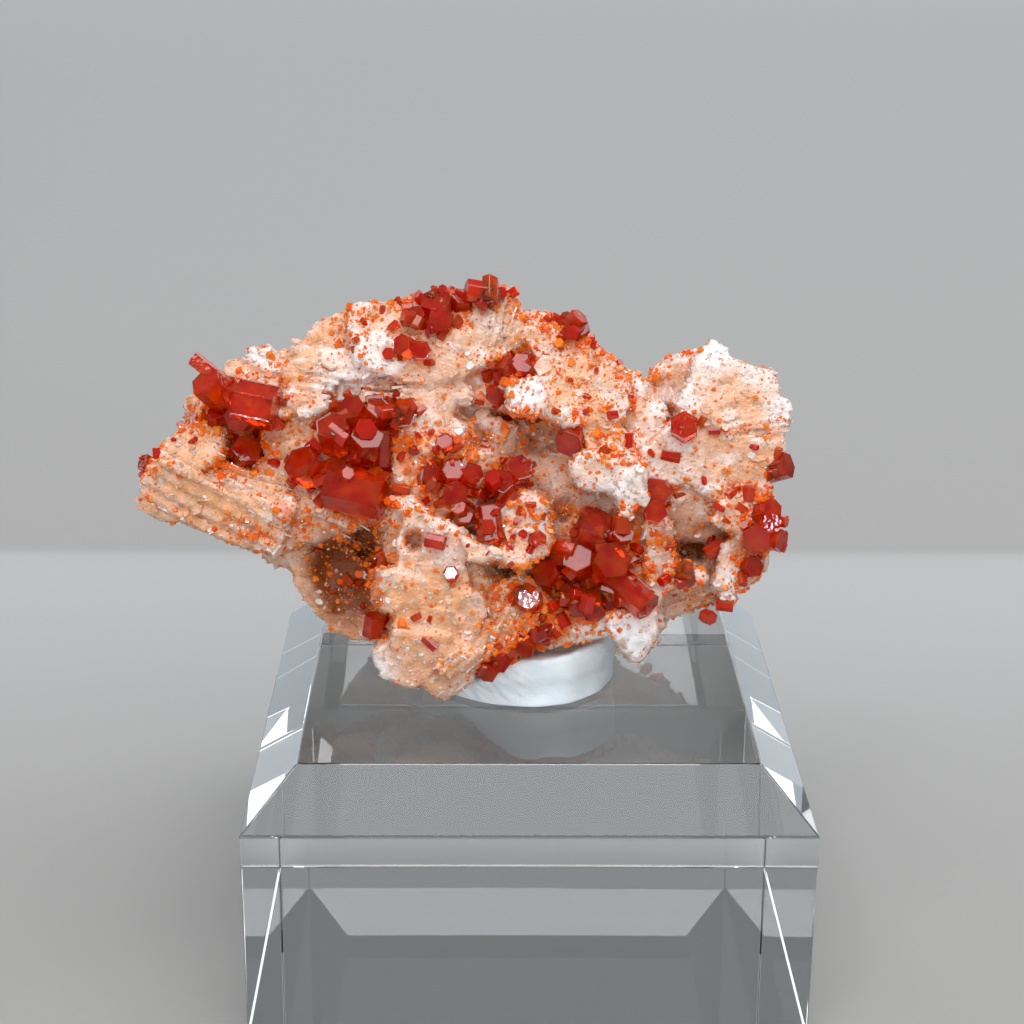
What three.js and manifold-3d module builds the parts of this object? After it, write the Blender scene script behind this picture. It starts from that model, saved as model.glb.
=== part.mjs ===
// Vanadinite crystals on a barite matrix, held by a pad of mineral tack on a
// clear bevelled acrylic display block. Millimetres, +Z up. The origin is the
// centre of the block's bottom face, +X is the viewer's right and +Y points away
// from the viewer.
import * as THREE from "three";
import { mergeVertices } from "three/addons/utils/BufferGeometryUtils.js";
import Module from "manifold-3d";

const wasm = await Module();
wasm.setup();

// ---------------------------------------------------------------- dimensions
const BLOCK_SIDE = 50.8; // a two inch block
const BLOCK_HEIGHT = 25.4; // one inch high
const BLOCK_BEVEL = 4.76; // three sixteenths of an inch, at 45 degrees

const GAP = 0.3; // left between pieces that touch
const Z_AXIS = new THREE.Vector3(0, 0, 1);

const TACK_CENTRE = [0.6, -0.6];
const TACK_RADIUS = 8.2;
const TACK_HEIGHT = 11;

// The specimen is modelled face on, in its own frame: x to the right, z up, and
// y away from the viewer. It then leans back on the tack.
const SPECIMEN_CENTRE = [-4, -2, 46];
const SPECIMEN_LEAN_DEG = 20;
const BODY_BACK = 4; // y where the front faces end and the back blades begin

// ------------------------------------------------------------------ helpers
// A small repeatable random number generator, from 0 to 1.
function seededRandom(seed) {
  let state = seed;
  return () => {
    state = (state * 1664525 + 1013904223) % 4294967296;
    return state / 4294967296;
  };
}

// A three.js geometry as a manifold-3d solid.
function solidOf(geometry) {
  const bare = new THREE.BufferGeometry();
  bare.setAttribute("position", geometry.getAttribute("position"));
  if (geometry.index) bare.setIndex(geometry.index);
  const merged = mergeVertices(bare, 1e-3);
  return new wasm.Manifold(
    new wasm.Mesh({
      numProp: 3,
      vertProperties: merged.getAttribute("position").array,
      triVerts: new Uint32Array(merged.index.array),
    }),
  );
}

// A manifold-3d solid as a named three.js mesh.
function meshOf(name, solid, material) {
  const { numProp, vertProperties, triVerts } = solid.getMesh();
  const positions = [];
  for (let i = 0; i < vertProperties.length; i += numProp) {
    positions.push(...vertProperties.slice(i, i + 3));
  }
  const geometry = new THREE.BufferGeometry();
  geometry.setAttribute("position", new THREE.Float32BufferAttribute(positions, 3));
  geometry.setIndex([...triVerts]);
  geometry.computeVertexNormals();
  const mesh = new THREE.Mesh(geometry, material);
  mesh.name = name;
  return mesh;
}

// The union of a list of solids.
const joined = (solids) => solids.reduce((sum, solid) => sum.add(solid));

// The largest body of a solid: what a cut leaves as loose crumbs is dropped.
const largestBody = (solid) =>
  solid.decompose().reduce((best, body) => (body.volume() > best.volume() ? body : best));

// Whether the point (x, z) lies inside an outline.
function inside(outline, x, z) {
  let within = false;
  outline.forEach(([ax, az], i) => {
    const [bx, bz] = outline[(i + 1) % outline.length];
    if (az > z !== bz > z && x < ((bx - ax) * (z - az)) / (bz - az) + ax) within = !within;
  });
  return within;
}

// ------------------------------------------------------------- display block
// A square prism whose four top edges are bevelled: a four sided lathe, turned
// by an eighth of a turn. Lathe radii reach the corners.
function blockGeometry() {
  const corner = (half) => half * Math.SQRT2;
  const profile = [
    [0, 0],
    [corner(BLOCK_SIDE / 2), 0],
    [corner(BLOCK_SIDE / 2), BLOCK_HEIGHT - BLOCK_BEVEL],
    [corner(BLOCK_SIDE / 2 - BLOCK_BEVEL), BLOCK_HEIGHT],
    [0, BLOCK_HEIGHT],
  ].map(([radius, height]) => new THREE.Vector2(radius, height));
  return new THREE.LatheGeometry(profile, 4)
    .rotateY(Math.PI / 4)
    .rotateX(Math.PI / 2);
}

// ------------------------------------------------------------- barite matrix
// Each face of the matrix is a plate cut to an outline of [x, z] points. Its
// front is a plane: relief is how far that plane stands towards the viewer at
// the outline's middle, and rise is how much it gains per millimetre of x and
// of z. It reaches back to y = back, where it is grow times as large.
const FACES = {
  body: {
    relief: -1.8, rise: [0, 0], back: 7, grow: 0.8,
    outline: [
      [-30.5, -1], [-28.5, 3], [-25, 4.5], [-23, 9.5], [-18, 10.8], [-15, 13.4],
      [-11, 15], [-2, 16], [2, 15.8], [4, 14], [9, 12.3], [12.5, 9.3], [15, 7.8],
      [17.5, 10.2], [20.8, 11.5], [24, 9.6], [26.5, 8], [27, 4], [26.5, 0],
      [25.8, -6], [24, -9.5], [22, -11.7], [17, -14], [13, -14.5], [8, -15],
      [2, -16], [-2, -17.6], [-4.5, -18.6], [-8, -17.5], [-12, -14.8],
      [-16, -12.2], [-17.6, -8.5], [-20, -6.5], [-26, -4.6], [-30.5, -3],
    ],
  },

  // the wing of stacked blades at the left
  wing_blades: {
    relief: 2.4, rise: [0.1, 0.35], back: 3, grow: 0.95,
    outline: [
      [-31.9, -0.6], [-31.2, 0.6], [-30, 1.3], [-28.3, 1.4], [-26.7, 0.4],
      [-24.8, -0.9], [-22.3, -2.3], [-20, -3.2], [-18.2, -4.1], [-18.6, -5.7],
      [-19.5, -7.1], [-21, -7], [-23.5, -6.2], [-26, -5.3], [-28.5, -4.4],
      [-30.2, -4], [-31.6, -3.4], [-32, -2.4],
    ],
  },
  wing_blade_upper: {
    relief: 2.2, rise: [0, -0.5], back: 2, grow: 1,
    outline: [
      [-27, 0.6], [-25.8, 0.9], [-23, 0.7], [-20.5, 0], [-18.5, -1.5],
      [-17.5, -3], [-18.3, -4.1], [-20.2, -3.2], [-22.3, -2.4], [-24.6, -1.2],
    ],
  },
  wing_lobe: {
    relief: 1.8, rise: [0, -0.45], back: 3, grow: 1,
    outline: [
      [-31, 1], [-30.2, 2.3], [-29, 3.6], [-27.8, 4.4], [-26, 4.9], [-24.6, 4.6],
      [-24.2, 2.6], [-24.8, 1.3], [-26.7, 0.4], [-28.4, 1.3], [-30, 1.2],
    ],
  },
  wing_bridge: {
    relief: 1.6, rise: [0.1, 0], back: 3, grow: 1,
    outline: [
      [-20.8, 3.9], [-19.8, 4.6], [-18.5, 4.8], [-17, 5.8], [-15.2, 5.8],
      [-14.8, 3.5], [-16, 1.8], [-18.5, 2], [-20, 1.6], [-20.4, 2.5],
    ],
  },
  wing_ledge: {
    relief: 1.2, rise: [0.05, -0.1], back: 3, grow: 1,
    outline: [
      [-21.9, 1], [-20, 1.7], [-18, 2.1], [-16, 1.9], [-15, -3.2], [-17.5, -4],
      [-18.5, -1.6], [-20.5, -0.1],
    ],
  },

  // the upper left shoulder
  shoulder_block: {
    relief: 1.6, rise: [0, -0.4], back: 3, grow: 1,
    outline: [
      [-24.4, 9.8], [-23.7, 10.7], [-22.2, 10.8], [-20, 10], [-18.5, 9.8],
      [-18.1, 8], [-18.2, 5.5], [-21.5, 5], [-23.6, 6], [-24, 9],
    ],
  },
  shoulder_cap: {
    relief: 1, rise: [0, -0.5], back: 2.5, grow: 0.9,
    outline: [
      [-22.2, 10.6], [-22.1, 11.8], [-20.8, 11.9], [-18.5, 11.6], [-17.6, 10.8],
      [-18.6, 9.7], [-20.6, 9.7],
    ],
  },
  shoulder_face: {
    relief: 2.7, rise: [0.12, -0.2], back: 3, grow: 1,
    outline: [
      [-18.6, 10.2], [-17.4, 11], [-16, 10.8], [-14.4, 9.6], [-13.6, 8.6],
      [-14.6, 7.4], [-14.6, 6.3], [-16.2, 5.4], [-17.7, 5.7], [-18.3, 7.2],
      [-18.7, 8.6],
    ],
  },
  shoulder_ridge: {
    relief: 2.2, rise: [0.05, -0.45], back: 3, grow: 1,
    outline: [
      [-18, 11.8], [-16, 12], [-13.5, 11.8], [-11.5, 11.1], [-10.2, 9.2],
      [-12, 9.1], [-14.2, 8.9], [-15.5, 10], [-17.4, 10.7],
    ],
  },
  honey_wedge: {
    relief: -0.6, rise: [0.1, -0.2], back: 2.4, grow: 1,
    outline: [
      [-17.9, 12.1], [-17, 13.2], [-16, 14.2], [-14.5, 14.9], [-13, 15.5],
      [-12.2, 14], [-12.3, 12.2], [-13, 11], [-15.5, 11.2],
    ],
  },

  // the crown along the top
  crown_upper: {
    relief: 2.3, rise: [0.03, -0.5], back: 4, grow: 0.95,
    outline: [
      [-12.7, 15.5], [-11.5, 15.9], [-9, 16.1], [-7, 16.3], [-5, 16.6],
      [-2, 16.9], [-0.8, 15.8], [-0.4, 13], [-4, 12.3], [-9, 12.1], [-12.5, 12.4],
    ],
  },
  crown_lower: {
    relief: 3.7, rise: [0.04, -0.12], back: 3, grow: 1.05,
    outline: [
      [-12.4, 12.6], [-9, 12.4], [-4, 12.6], [-0.4, 13.2], [-0.2, 11.5],
      [-1.2, 9.4], [-3, 8.5], [-5, 8.2], [-7, 8.3], [-8.6, 9.1], [-10.4, 9.2],
      [-11.8, 11],
    ],
  },
  crown_ridge: {
    relief: 3, rise: [-0.45, -0.15], back: 3, grow: 0.95,
    outline: [
      [-1.2, 15.2], [-0.4, 16.9], [1, 17.3], [2.4, 17], [3, 15.8], [3.4, 13.8],
      [3.3, 12], [1.6, 10.7], [0.2, 10], [-0.8, 9.8], [-0.6, 12.5],
    ],
  },
  crown_slope: {
    relief: 1.6, rise: [-0.1, -0.1], back: 3, grow: 1,
    outline: [
      [-1.2, 10.2], [1.5, 11], [3.3, 12.3], [4.9, 11.8], [5.1, 10.2], [4.8, 9],
      [2, 8.2], [-0.5, 6.6], [-2.8, 8.2],
    ],
  },

  // the speckled plateau right of the crown
  plateau: {
    relief: 3.2, rise: [-0.06, -0.3], back: 4, grow: 1,
    outline: [
      [3.5, 13.8], [4.4, 14.1], [6, 13.8], [7.8, 13.4], [9.8, 12.4], [11.3, 11.2],
      [12.6, 10], [13.3, 8.6], [13.3, 6.4], [12.4, 5], [10, 4.8], [8, 4.7],
      [6.2, 4.8], [5.2, 5.7], [5.1, 8], [5, 9.6], [4.2, 11.6],
    ],
  },
  plateau_crest: {
    relief: 0.5, rise: [0, -0.1], back: 4, grow: 0.9,
    outline: [
      [3, 15.2], [4.5, 15.2], [6, 14.9], [7.2, 14.1], [9.6, 12.9], [8, 12.4],
      [5, 12.8], [3.2, 13],
    ],
  },
  pale_lip: {
    relief: 4.8, rise: [0.05, -0.1], back: 3, grow: 1,
    outline: [
      [1.7, 8.5], [3.2, 8.9], [4.9, 9.2], [5.4, 8], [5.6, 6.6], [4.9, 5.7],
      [3.3, 5.5], [2.3, 6], [2, 7.3],
    ],
  },
  mid_lip: {
    relief: 2.4, rise: [0, 0], back: 3, grow: 1,
    outline: [[-0.9, 7.6], [0, 8.3], [2, 8.3], [2.4, 6.1], [1.2, 6.3], [-0.6, 6.5]],
  },
  saddle: {
    relief: 1.7, rise: [0.02, -0.1], back: 3, grow: 1,
    outline: [
      [13.1, 9.7], [14.2, 9.3], [15.3, 8.5], [16.2, 7.4], [16.9, 6.2],
      [17.3, 4.6], [16.8, 2.6], [15, 1.3], [13.5, 2.6], [12.4, 4.7], [13, 7],
    ],
  },

  // the big plate at the right
  right_peak: {
    relief: 2.8, rise: [-0.06, -0.22], back: 3, grow: 0.92,
    outline: [
      [19.1, 10.4], [19.9, 11.4], [20.6, 12.1], [21.1, 12.9], [22.2, 12.2],
      [22.8, 11.1], [24, 10.5], [25, 10.1], [26.2, 9.8], [27, 9.1], [27.3, 8.2],
      [27, 7.4], [28, 7], [28.4, 6.2], [28.1, 5.1], [26, 4.4], [23, 4.2],
      [20, 4.6], [18, 5.6], [17.1, 6.8], [17.3, 7.5], [18.8, 8.3],
    ],
  },
  right_face: {
    relief: 3.3, rise: [-0.04, 0.05], back: 3, grow: 0.95,
    outline: [
      [15, -0.3], [14.1, 1.4], [14.7, 3], [16.5, 4.4], [18, 5.8], [20, 4.9],
      [23, 4.4], [26, 4.6], [27.9, 4.7], [27.6, 3.4], [27.8, 2.4], [27, 1.2],
      [26.3, 0], [26.7, -1.6], [25.7, -2.8], [24.7, -2.4], [23.5, -2.2],
      [21.5, -2.4], [20.3, -1.6], [19, -0.4], [17, -0.9],
    ],
  },
  notch_wall: {
    relief: -0.2, rise: [0.1, 0], back: 3, grow: 0.9,
    outline: [
      [15, 8.4], [15.7, 9.6], [16.8, 10.7], [17.4, 11.2], [18.6, 11.4],
      [19.9, 12], [20.6, 11.4], [19.6, 10], [19, 8], [17.3, 7.2], [16.2, 7],
    ],
  },
  right_slope: {
    relief: 1.6, rise: [0, 0.45], back: 3, grow: 1,
    outline: [
      [14.7, -0.6], [17, -0.7], [19, -0.3], [20.3, -1.6], [21.4, -2.8],
      [21.2, -4.4], [19, -4.8], [17.2, -4.8], [15, -3.9],
    ],
  },
  right_knob: {
    relief: 3.2, rise: [-0.2, 0.05], back: 3, grow: 0.9,
    outline: [
      [21, -4], [21.6, -2.6], [23, -2], [25, -2.2], [26.6, -2.3], [27.1, -3.8],
      [27, -5.6], [26.2, -6.8], [25, -6.8], [23.7, -6.2], [23.2, -5.3], [22, -5],
    ],
  },
  right_cheek: {
    relief: 2.2, rise: [-0.3, 0.1], back: 3, grow: 0.95,
    outline: [
      [21.5, -8.8], [22.1, -6.3], [23.3, -5.6], [25, -6.4], [26.2, -7.1],
      [25.8, -8.8], [24.8, -9.9], [23.6, -10.8], [23.1, -12], [22.3, -11.4],
      [21.2, -10.3],
    ],
  },
  tongue: {
    relief: 3.1, rise: [0, 0.12], back: 3, grow: 1,
    outline: [
      [15, -7], [17.3, -6.9], [18.7, -7.6], [20, -8.6], [20.9, -9.7],
      [19.3, -10.3], [18, -10], [16.9, -10.8], [16, -12.2], [15.2, -11.4],
      [15, -9],
    ],
  },
  column: {
    relief: 3.2, rise: [0.05, 0], back: 3, grow: 1,
    outline: [
      [14.8, -3.6], [16.8, -3.9], [17.4, -5.3], [17, -7], [15.8, -7.6], [15, -6.5],
    ],
  },
  tooth: {
    relief: 3.2, rise: [0, 0.12], back: 1.5, grow: 1,
    outline: [
      [11.1, -12.6], [12.6, -12.3], [14.3, -12.3], [15.9, -12.4], [15.9, -14.6],
      [15.3, -16], [14.7, -17.2], [14.2, -17.4], [13.6, -17.2], [13.3, -16.6],
      [12.6, -16.3], [12.5, -15.3], [11.6, -14.4],
    ],
  },
  tooth_root: {
    relief: 1.8, rise: [0, 0.1], back: 3, grow: 1,
    outline: [[14.8, -11.6], [16.2, -11.8], [16.6, -14], [16.1, -15.4], [15.2, -15.2]],
  },

  // pale lumps and the hollow in the middle
  lump_ridge: {
    relief: 4.3, rise: [0.05, -0.1], back: 3, grow: 1,
    outline: [
      [9, 5], [10.5, 5], [12.3, 4.5], [13.6, 2.8], [14, 1.4], [14.8, 0.2],
      [14.4, -0.8], [12.8, 0], [11.2, 1.4], [10, 2], [9.2, 3.2],
    ],
  },
  lump_pale: {
    relief: 4.7, rise: [0, 0.1], back: 3, grow: 1,
    outline: [
      [7.9, 0.2], [8.3, 1.5], [9.4, 2.4], [11, 1.9], [12.6, 0.6], [14.4, -0.6],
      [14.9, -2.2], [13.7, -2.6], [13.4, -3.9], [12.6, -4], [12.3, -2.2],
      [11, -1.3], [9.6, -1.5], [8.6, -1],
    ],
  },
  centre_hollow: {
    relief: 0.6, rise: [0.15, 0.05], back: 3, grow: 1,
    outline: [
      [1.4, 6.4], [5, 5.9], [7.5, 5], [9.4, 5], [9.2, 2.5], [8.2, 1], [8.6, -1.2],
      [6.3, -1.5], [5.5, -3], [3, -1.6], [2, 1], [1, 3],
    ],
  },
  grey_face: {
    relief: 2.3, rise: [-0.15, 0.1], back: 3, grow: 1,
    outline: [
      [-2.6, 2], [-1.6, 5], [1.5, 5], [3, 4.5], [2.6, 2.2], [0.9, 0.5],
      [-0.6, 0.2], [-2.2, 0.8],
    ],
  },
  centre_ledge: {
    relief: 3.6, rise: [0, -0.12], back: 3, grow: 1,
    outline: [
      [-8, 4.6], [-7.8, 7.8], [-7, 8.6], [-3, 8.8], [-1.5, 8.2], [-0.8, 7],
      [-2.9, 6.6], [-3, 5.2], [-1.5, 4.6], [-2.3, 2.4], [-5, 1.8], [-7.8, 3],
    ],
  },
  rubble: {
    relief: 3.2, rise: [-0.05, 0.05], back: 3, grow: 1,
    outline: [
      [-8.4, 4.6], [-7.6, 3.2], [-5, 2.4], [-2.2, 2.6], [-1.8, 0.8], [-0.4, 0.2],
      [-0.6, -2.2], [-0.9, -4.6], [-3, -4.8], [-5, -4.2], [-6, -2.4], [-8.4, -2],
      [-8.4, 0.8],
    ],
  },
  left_seat: {
    relief: 1.8, rise: [0.1, 0.05], back: 3, grow: 1,
    outline: [
      [-15.3, 6.8], [-12.5, 7.4], [-9, 7.6], [-7.6, 7.2], [-7.4, 4.4], [-8, 2],
      [-8, -2], [-9.6, -3.1], [-12.5, -3.4], [-15.4, -3], [-16.6, -0.5],
      [-16.4, 2], [-15.2, 3.5],
    ],
  },

  // the near face, down to the toe
  near_upper: {
    relief: 4.5, rise: [0.15, -0.1], back: 3, grow: 1,
    outline: [
      [-8.8, -2.4], [-7, -2.1], [-5.6, -3.2], [-4.7, -4.2], [-5, -6.2],
      [-4.6, -7.6], [-5.6, -9.4], [-8.2, -8.6], [-7.9, -6], [-7.3, -4.2],
    ],
  },
  near_middle: {
    relief: 5.1, rise: [0.03, 0.05], back: 3, grow: 1.05,
    outline: [
      [-5.2, -4.2], [-3.8, -4.1], [-3, -4.8], [-1.7, -5.6], [-1.8, -8],
      [-1.2, -10.6], [-4, -11.1], [-6.2, -9.8], [-5.2, -7.5], [-5.4, -6],
    ],
  },
  near_shelf: {
    relief: 6.2, rise: [-0.06, -0.2], back: 3, grow: 1,
    outline: [
      [-2.4, -5.5], [-0.6, -6.3], [0.9, -6.5], [2.6, -6.7], [4.2, -7.4],
      [3.7, -8.3], [2.5, -8.2], [0.5, -8], [-1.6, -7.8],
    ],
  },
  near_lower: {
    relief: 4.9, rise: [-0.02, 0.14], back: 3, grow: 0.95,
    outline: [
      [-10.7, -10.4], [-10.2, -8.7], [-9, -8.6], [-7.9, -8.7], [-6, -9],
      [-4, -10.2], [-1.3, -10.4], [0.1, -11.2], [0.2, -13.5], [-0.4, -15.6],
      [-4, -15.2], [-7, -15.2], [-8.7, -14.8], [-8.4, -13], [-9.6, -12.3],
    ],
  },
  toe: {
    relief: 4.1, rise: [0, 0.35], back: 1, grow: 0.9,
    outline: [
      [-8.4, -14.2], [-6, -14.6], [-3, -14.6], [-0.6, -15.2], [-0.4, -17.2],
      [-1.2, -18.7], [-2.6, -20], [-3.9, -20.7], [-4.8, -20.5], [-5.6, -19.6],
      [-6.3, -18.2], [-8, -16.6], [-8.6, -15.5],
    ],
  },
  toe_blade: {
    relief: 5.2, rise: [0.1, 0.2], back: 1, grow: 1,
    outline: [
      [-4.7, -17.6], [-3.8, -16.3], [-2, -15.7], [-0.9, -16.4], [-1, -17.5],
      [-2.4, -18.3], [-4, -18.3],
    ],
  },
  pink_blade: {
    relief: 3.8, rise: [0.1, 0.12], back: 1, grow: 1,
    outline: [
      [-10.2, -16.6], [-9.4, -15.4], [-8.2, -15.2], [-6.8, -16.6], [-5.8, -18.6],
      [-6.2, -19.4], [-7, -19.6], [-7.7, -19.3], [-8.6, -18.7], [-9.4, -18.3],
      [-10.1, -17.4],
    ],
  },
  white_lip: {
    relief: 5.2, rise: [-0.05, 0.05], back: 3, grow: 1,
    outline: [
      [1.5, -3.3], [2.6, -2.2], [3.7, -1.6], [5, -2.2], [5.9, -3.8], [6.1, -5.6],
      [5.5, -7], [4.3, -7.7], [3, -7.4], [1.6, -6.8], [1.4, -5],
    ],
  },

  // the recess at the lower left
  recess: {
    relief: -2.4, rise: [-0.08, 0.1], back: 3.5, grow: 0.95,
    outline: [
      [-19.4, -7.2], [-18.4, -5.8], [-17.2, -4.1], [-15.2, -3.4], [-12, -4],
      [-9.2, -5], [-8.6, -8], [-9.6, -9], [-9.8, -10.6], [-8.6, -12.4],
      [-7.6, -13], [-8, -15.4], [-10.5, -15.7], [-13, -15.5], [-14.2, -15],
      [-15.6, -13.7], [-17.2, -12], [-18.1, -10.2], [-18.3, -9],
    ],
  },
  recess_upper: {
    relief: 0.6, rise: [0.05, 0.1], back: 3, grow: 1,
    outline: [
      [-19.4, -7.2], [-18.6, -5], [-17, -3.4], [-15, -3], [-13.4, -4.6],
      [-13.4, -7.3], [-14.6, -7], [-16.3, -6.2],
    ],
  },
  strut: {
    relief: 1.5, rise: [0.05, 0.1], back: 3, grow: 1,
    outline: [
      [-15.6, -2.6], [-13.6, -2.8], [-11.5, -3.2], [-9, -3], [-9, -6.6],
      [-9.8, -7], [-11, -6.3], [-13, -5.1], [-15, -3.9],
    ],
  },
  strut_side: {
    relief: 2.7, rise: [0.8, 0], back: 3, grow: 1,
    outline: [
      [-9.4, -2.8], [-8, -2.4], [-7, -4], [-7.5, -6], [-7.9, -8.6], [-9.4, -7.7],
      [-9.7, -5.6],
    ],
  },

  // under the two large crystal groups, and the lower right
  right_seat: {
    relief: 1.5, rise: [0.05, 0.02], back: 3, grow: 1,
    outline: [
      [6, -1.2], [8.6, -1.2], [12, -2], [12.9, -3.7], [15.2, -3.8], [15.4, -7.4],
      [15.6, -10.8], [14.4, -12.8], [11, -13], [8.4, -12.9], [6.2, -12.2],
      [3, -9.4], [4, -7.2], [5.8, -6.2], [5.8, -3.6],
    ],
  },
  seam: {
    relief: 2.7, rise: [-0.05, 0.15], back: 2.5, grow: 0.95,
    outline: [
      [-0.2, -11], [1.3, -10.1], [2.8, -9.2], [4.4, -9.6], [5.8, -11.3],
      [7.8, -12.8], [8, -14.2], [6.6, -15.2], [5.3, -16.1], [3.6, -16.1],
      [2.4, -16.9], [1.4, -17.9], [0.2, -18.5], [-1, -18.4], [-0.8, -15],
    ],
  },
  seam_blade_left: {
    relief: 3.9, rise: [-0.1, 0.1], back: 2, grow: 1,
    outline: [[0, -17], [-0.2, -15.2], [1.6, -12.4], [2.9, -11.2], [2.5, -13], [1, -15.9]],
  },
  seam_blade_right: {
    relief: 3.7, rise: [-0.1, 0.15], back: 2, grow: 1,
    outline: [[1.1, -16.5], [2.4, -13.7], [4, -12.6], [5.1, -13.3], [3.4, -14.7], [2, -16.3]],
  },
  chin: {
    relief: 2.4, rise: [0, 0.3], back: 3, grow: 0.95,
    outline: [
      [7.4, -12.4], [9, -12.3], [11.5, -12.3], [12.4, -13.4], [11.8, -14.7],
      [10.5, -15], [8.4, -15.5], [6.4, -16.1], [5.2, -16.1], [6.4, -15],
    ],
  },
};

// Pockets cut into the matrix: centre, and half size along x, y and z.
const POCKETS = {
  recess_pocket: { centre: [-11.2, 0, -7.4], half: [1.9, 5.2, 1] },
  right_pocket: { centre: [19.6, -0.5, -7.2], half: [2.5, 4.6, 1.5] },
  wing_pocket: { centre: [-22.6, -0.5, 2.2], half: [2, 2.6, 1.5] },
};

const middleOf = (outline) => [
  outline.reduce((sum, point) => sum + point[0], 0) / outline.length,
  outline.reduce((sum, point) => sum + point[1], 0) / outline.length,
];

// How far a face stands towards the viewer at (x, z).
function reliefAt({ outline, relief, rise }, x, z) {
  const [middleX, middleZ] = middleOf(outline);
  return relief + rise[0] * (x - middleX) + rise[1] * (z - middleZ);
}

// One face as a plate: its outline extruded by one unit, then every point is
// moved to the front plane or to the back.
function faceGeometry(face) {
  const [middleX, middleZ] = middleOf(face.outline);
  const shape = new THREE.Shape(face.outline.map(([x, z]) => new THREE.Vector2(x, z)));
  const geometry = new THREE.ExtrudeGeometry(shape, { depth: 1, bevelEnabled: false });
  const position = geometry.getAttribute("position");
  for (let i = 0; i < position.count; i += 1) {
    const x = position.getX(i);
    const z = position.getY(i);
    if (position.getZ(i) < 0.5) {
      const scale = face.grow;
      position.setXYZ(i, middleX + (x - middleX) * scale, face.back, middleZ + (z - middleZ) * scale);
    } else {
      position.setXYZ(i, x, -reliefAt(face, x, z), z);
    }
  }
  return geometry;
}

// The matrix's back: broad blades set around a low dome, each an irregular
// polygon with its normal near the dome's own.
// Thick six sided blades whose faces look outwards over the domed back. reach
// runs from 0 at the dome's middle to 1 at its rim.
const BACK = {
  blades: 10,
  sides: 6,
  thickness: 4.5,
  radius: [5.8, 9],
  stretch: 1.35,
  middle: [-3, -0.5],
  spread: [23.5, 11.5],
  dome: 7.5,
  proud: [1.8, 3.4],
  tilt: 0.7,
  wobble: 0.5,
};
const GOLDEN_ANGLE = Math.PI * (3 - Math.sqrt(5));

function backBlades() {
  const random = seededRandom(41);
  const between = ([low, high]) => low + (high - low) * random();
  return Array.from({ length: BACK.blades }, (_, i) => {
    const reach = Math.sqrt((i + 0.5) / BACK.blades);
    const angle = i * GOLDEN_ANGLE;
    const u = reach * Math.cos(angle);
    const v = reach * Math.sin(angle);
    const rimShrink = 1.1 - 0.4 * reach;
    const outline = Array.from({ length: BACK.sides }, (_, side) => {
      const turn = (2 * Math.PI * side) / BACK.sides;
      const radius = between(BACK.radius) * rimShrink;
      return new THREE.Vector2(BACK.stretch * radius * Math.cos(turn), radius * Math.sin(turn));
    });
    const geometry = new THREE.ExtrudeGeometry(new THREE.Shape(outline), {
      depth: BACK.thickness,
      bevelEnabled: false,
    });
    const outward = new THREE.Vector3(
      BACK.tilt * u + BACK.wobble * (random() - 0.5),
      1,
      BACK.tilt * v + BACK.wobble * (random() - 0.5),
    ).normalize();
    const turned = new THREE.Quaternion().setFromUnitVectors(Z_AXIS, outward);
    geometry.translate(0, 0, -BACK.thickness);
    geometry.rotateZ(random() * Math.PI);
    geometry.applyQuaternion(turned);
    return geometry.translate(
      BACK.middle[0] + BACK.spread[0] * u,
      BODY_BACK + BACK.dome * (1 - reach * reach) + between(BACK.proud),
      BACK.middle[1] + BACK.spread[1] * v,
    );
  });
}

function pocketGeometry({ centre, half }) {
  return new THREE.SphereGeometry(1, 6, 4).scale(...half).translate(...centre);
}

// A lumpy core behind the faces, which every blade runs into.
const CORES = [
  { centre: [-6, 4.5, 1], half: [17, 7, 12] },
  { centre: [14, 3.5, -2], half: [11, 5, 10.5] },
];

function matrixSolid() {
  const plates = Object.values(FACES).map((face) => solidOf(faceGeometry(face)));
  const cores = CORES.map(({ centre, half }) =>
    solidOf(new THREE.IcosahedronGeometry(1, 1).scale(...half).translate(...centre)),
  );
  const blades = backBlades().map(solidOf);
  const pockets = Object.values(POCKETS).map((pocket) => solidOf(pocketGeometry(pocket)));
  return joined([...plates, ...cores, ...blades]).subtract(joined(pockets));
}

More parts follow.
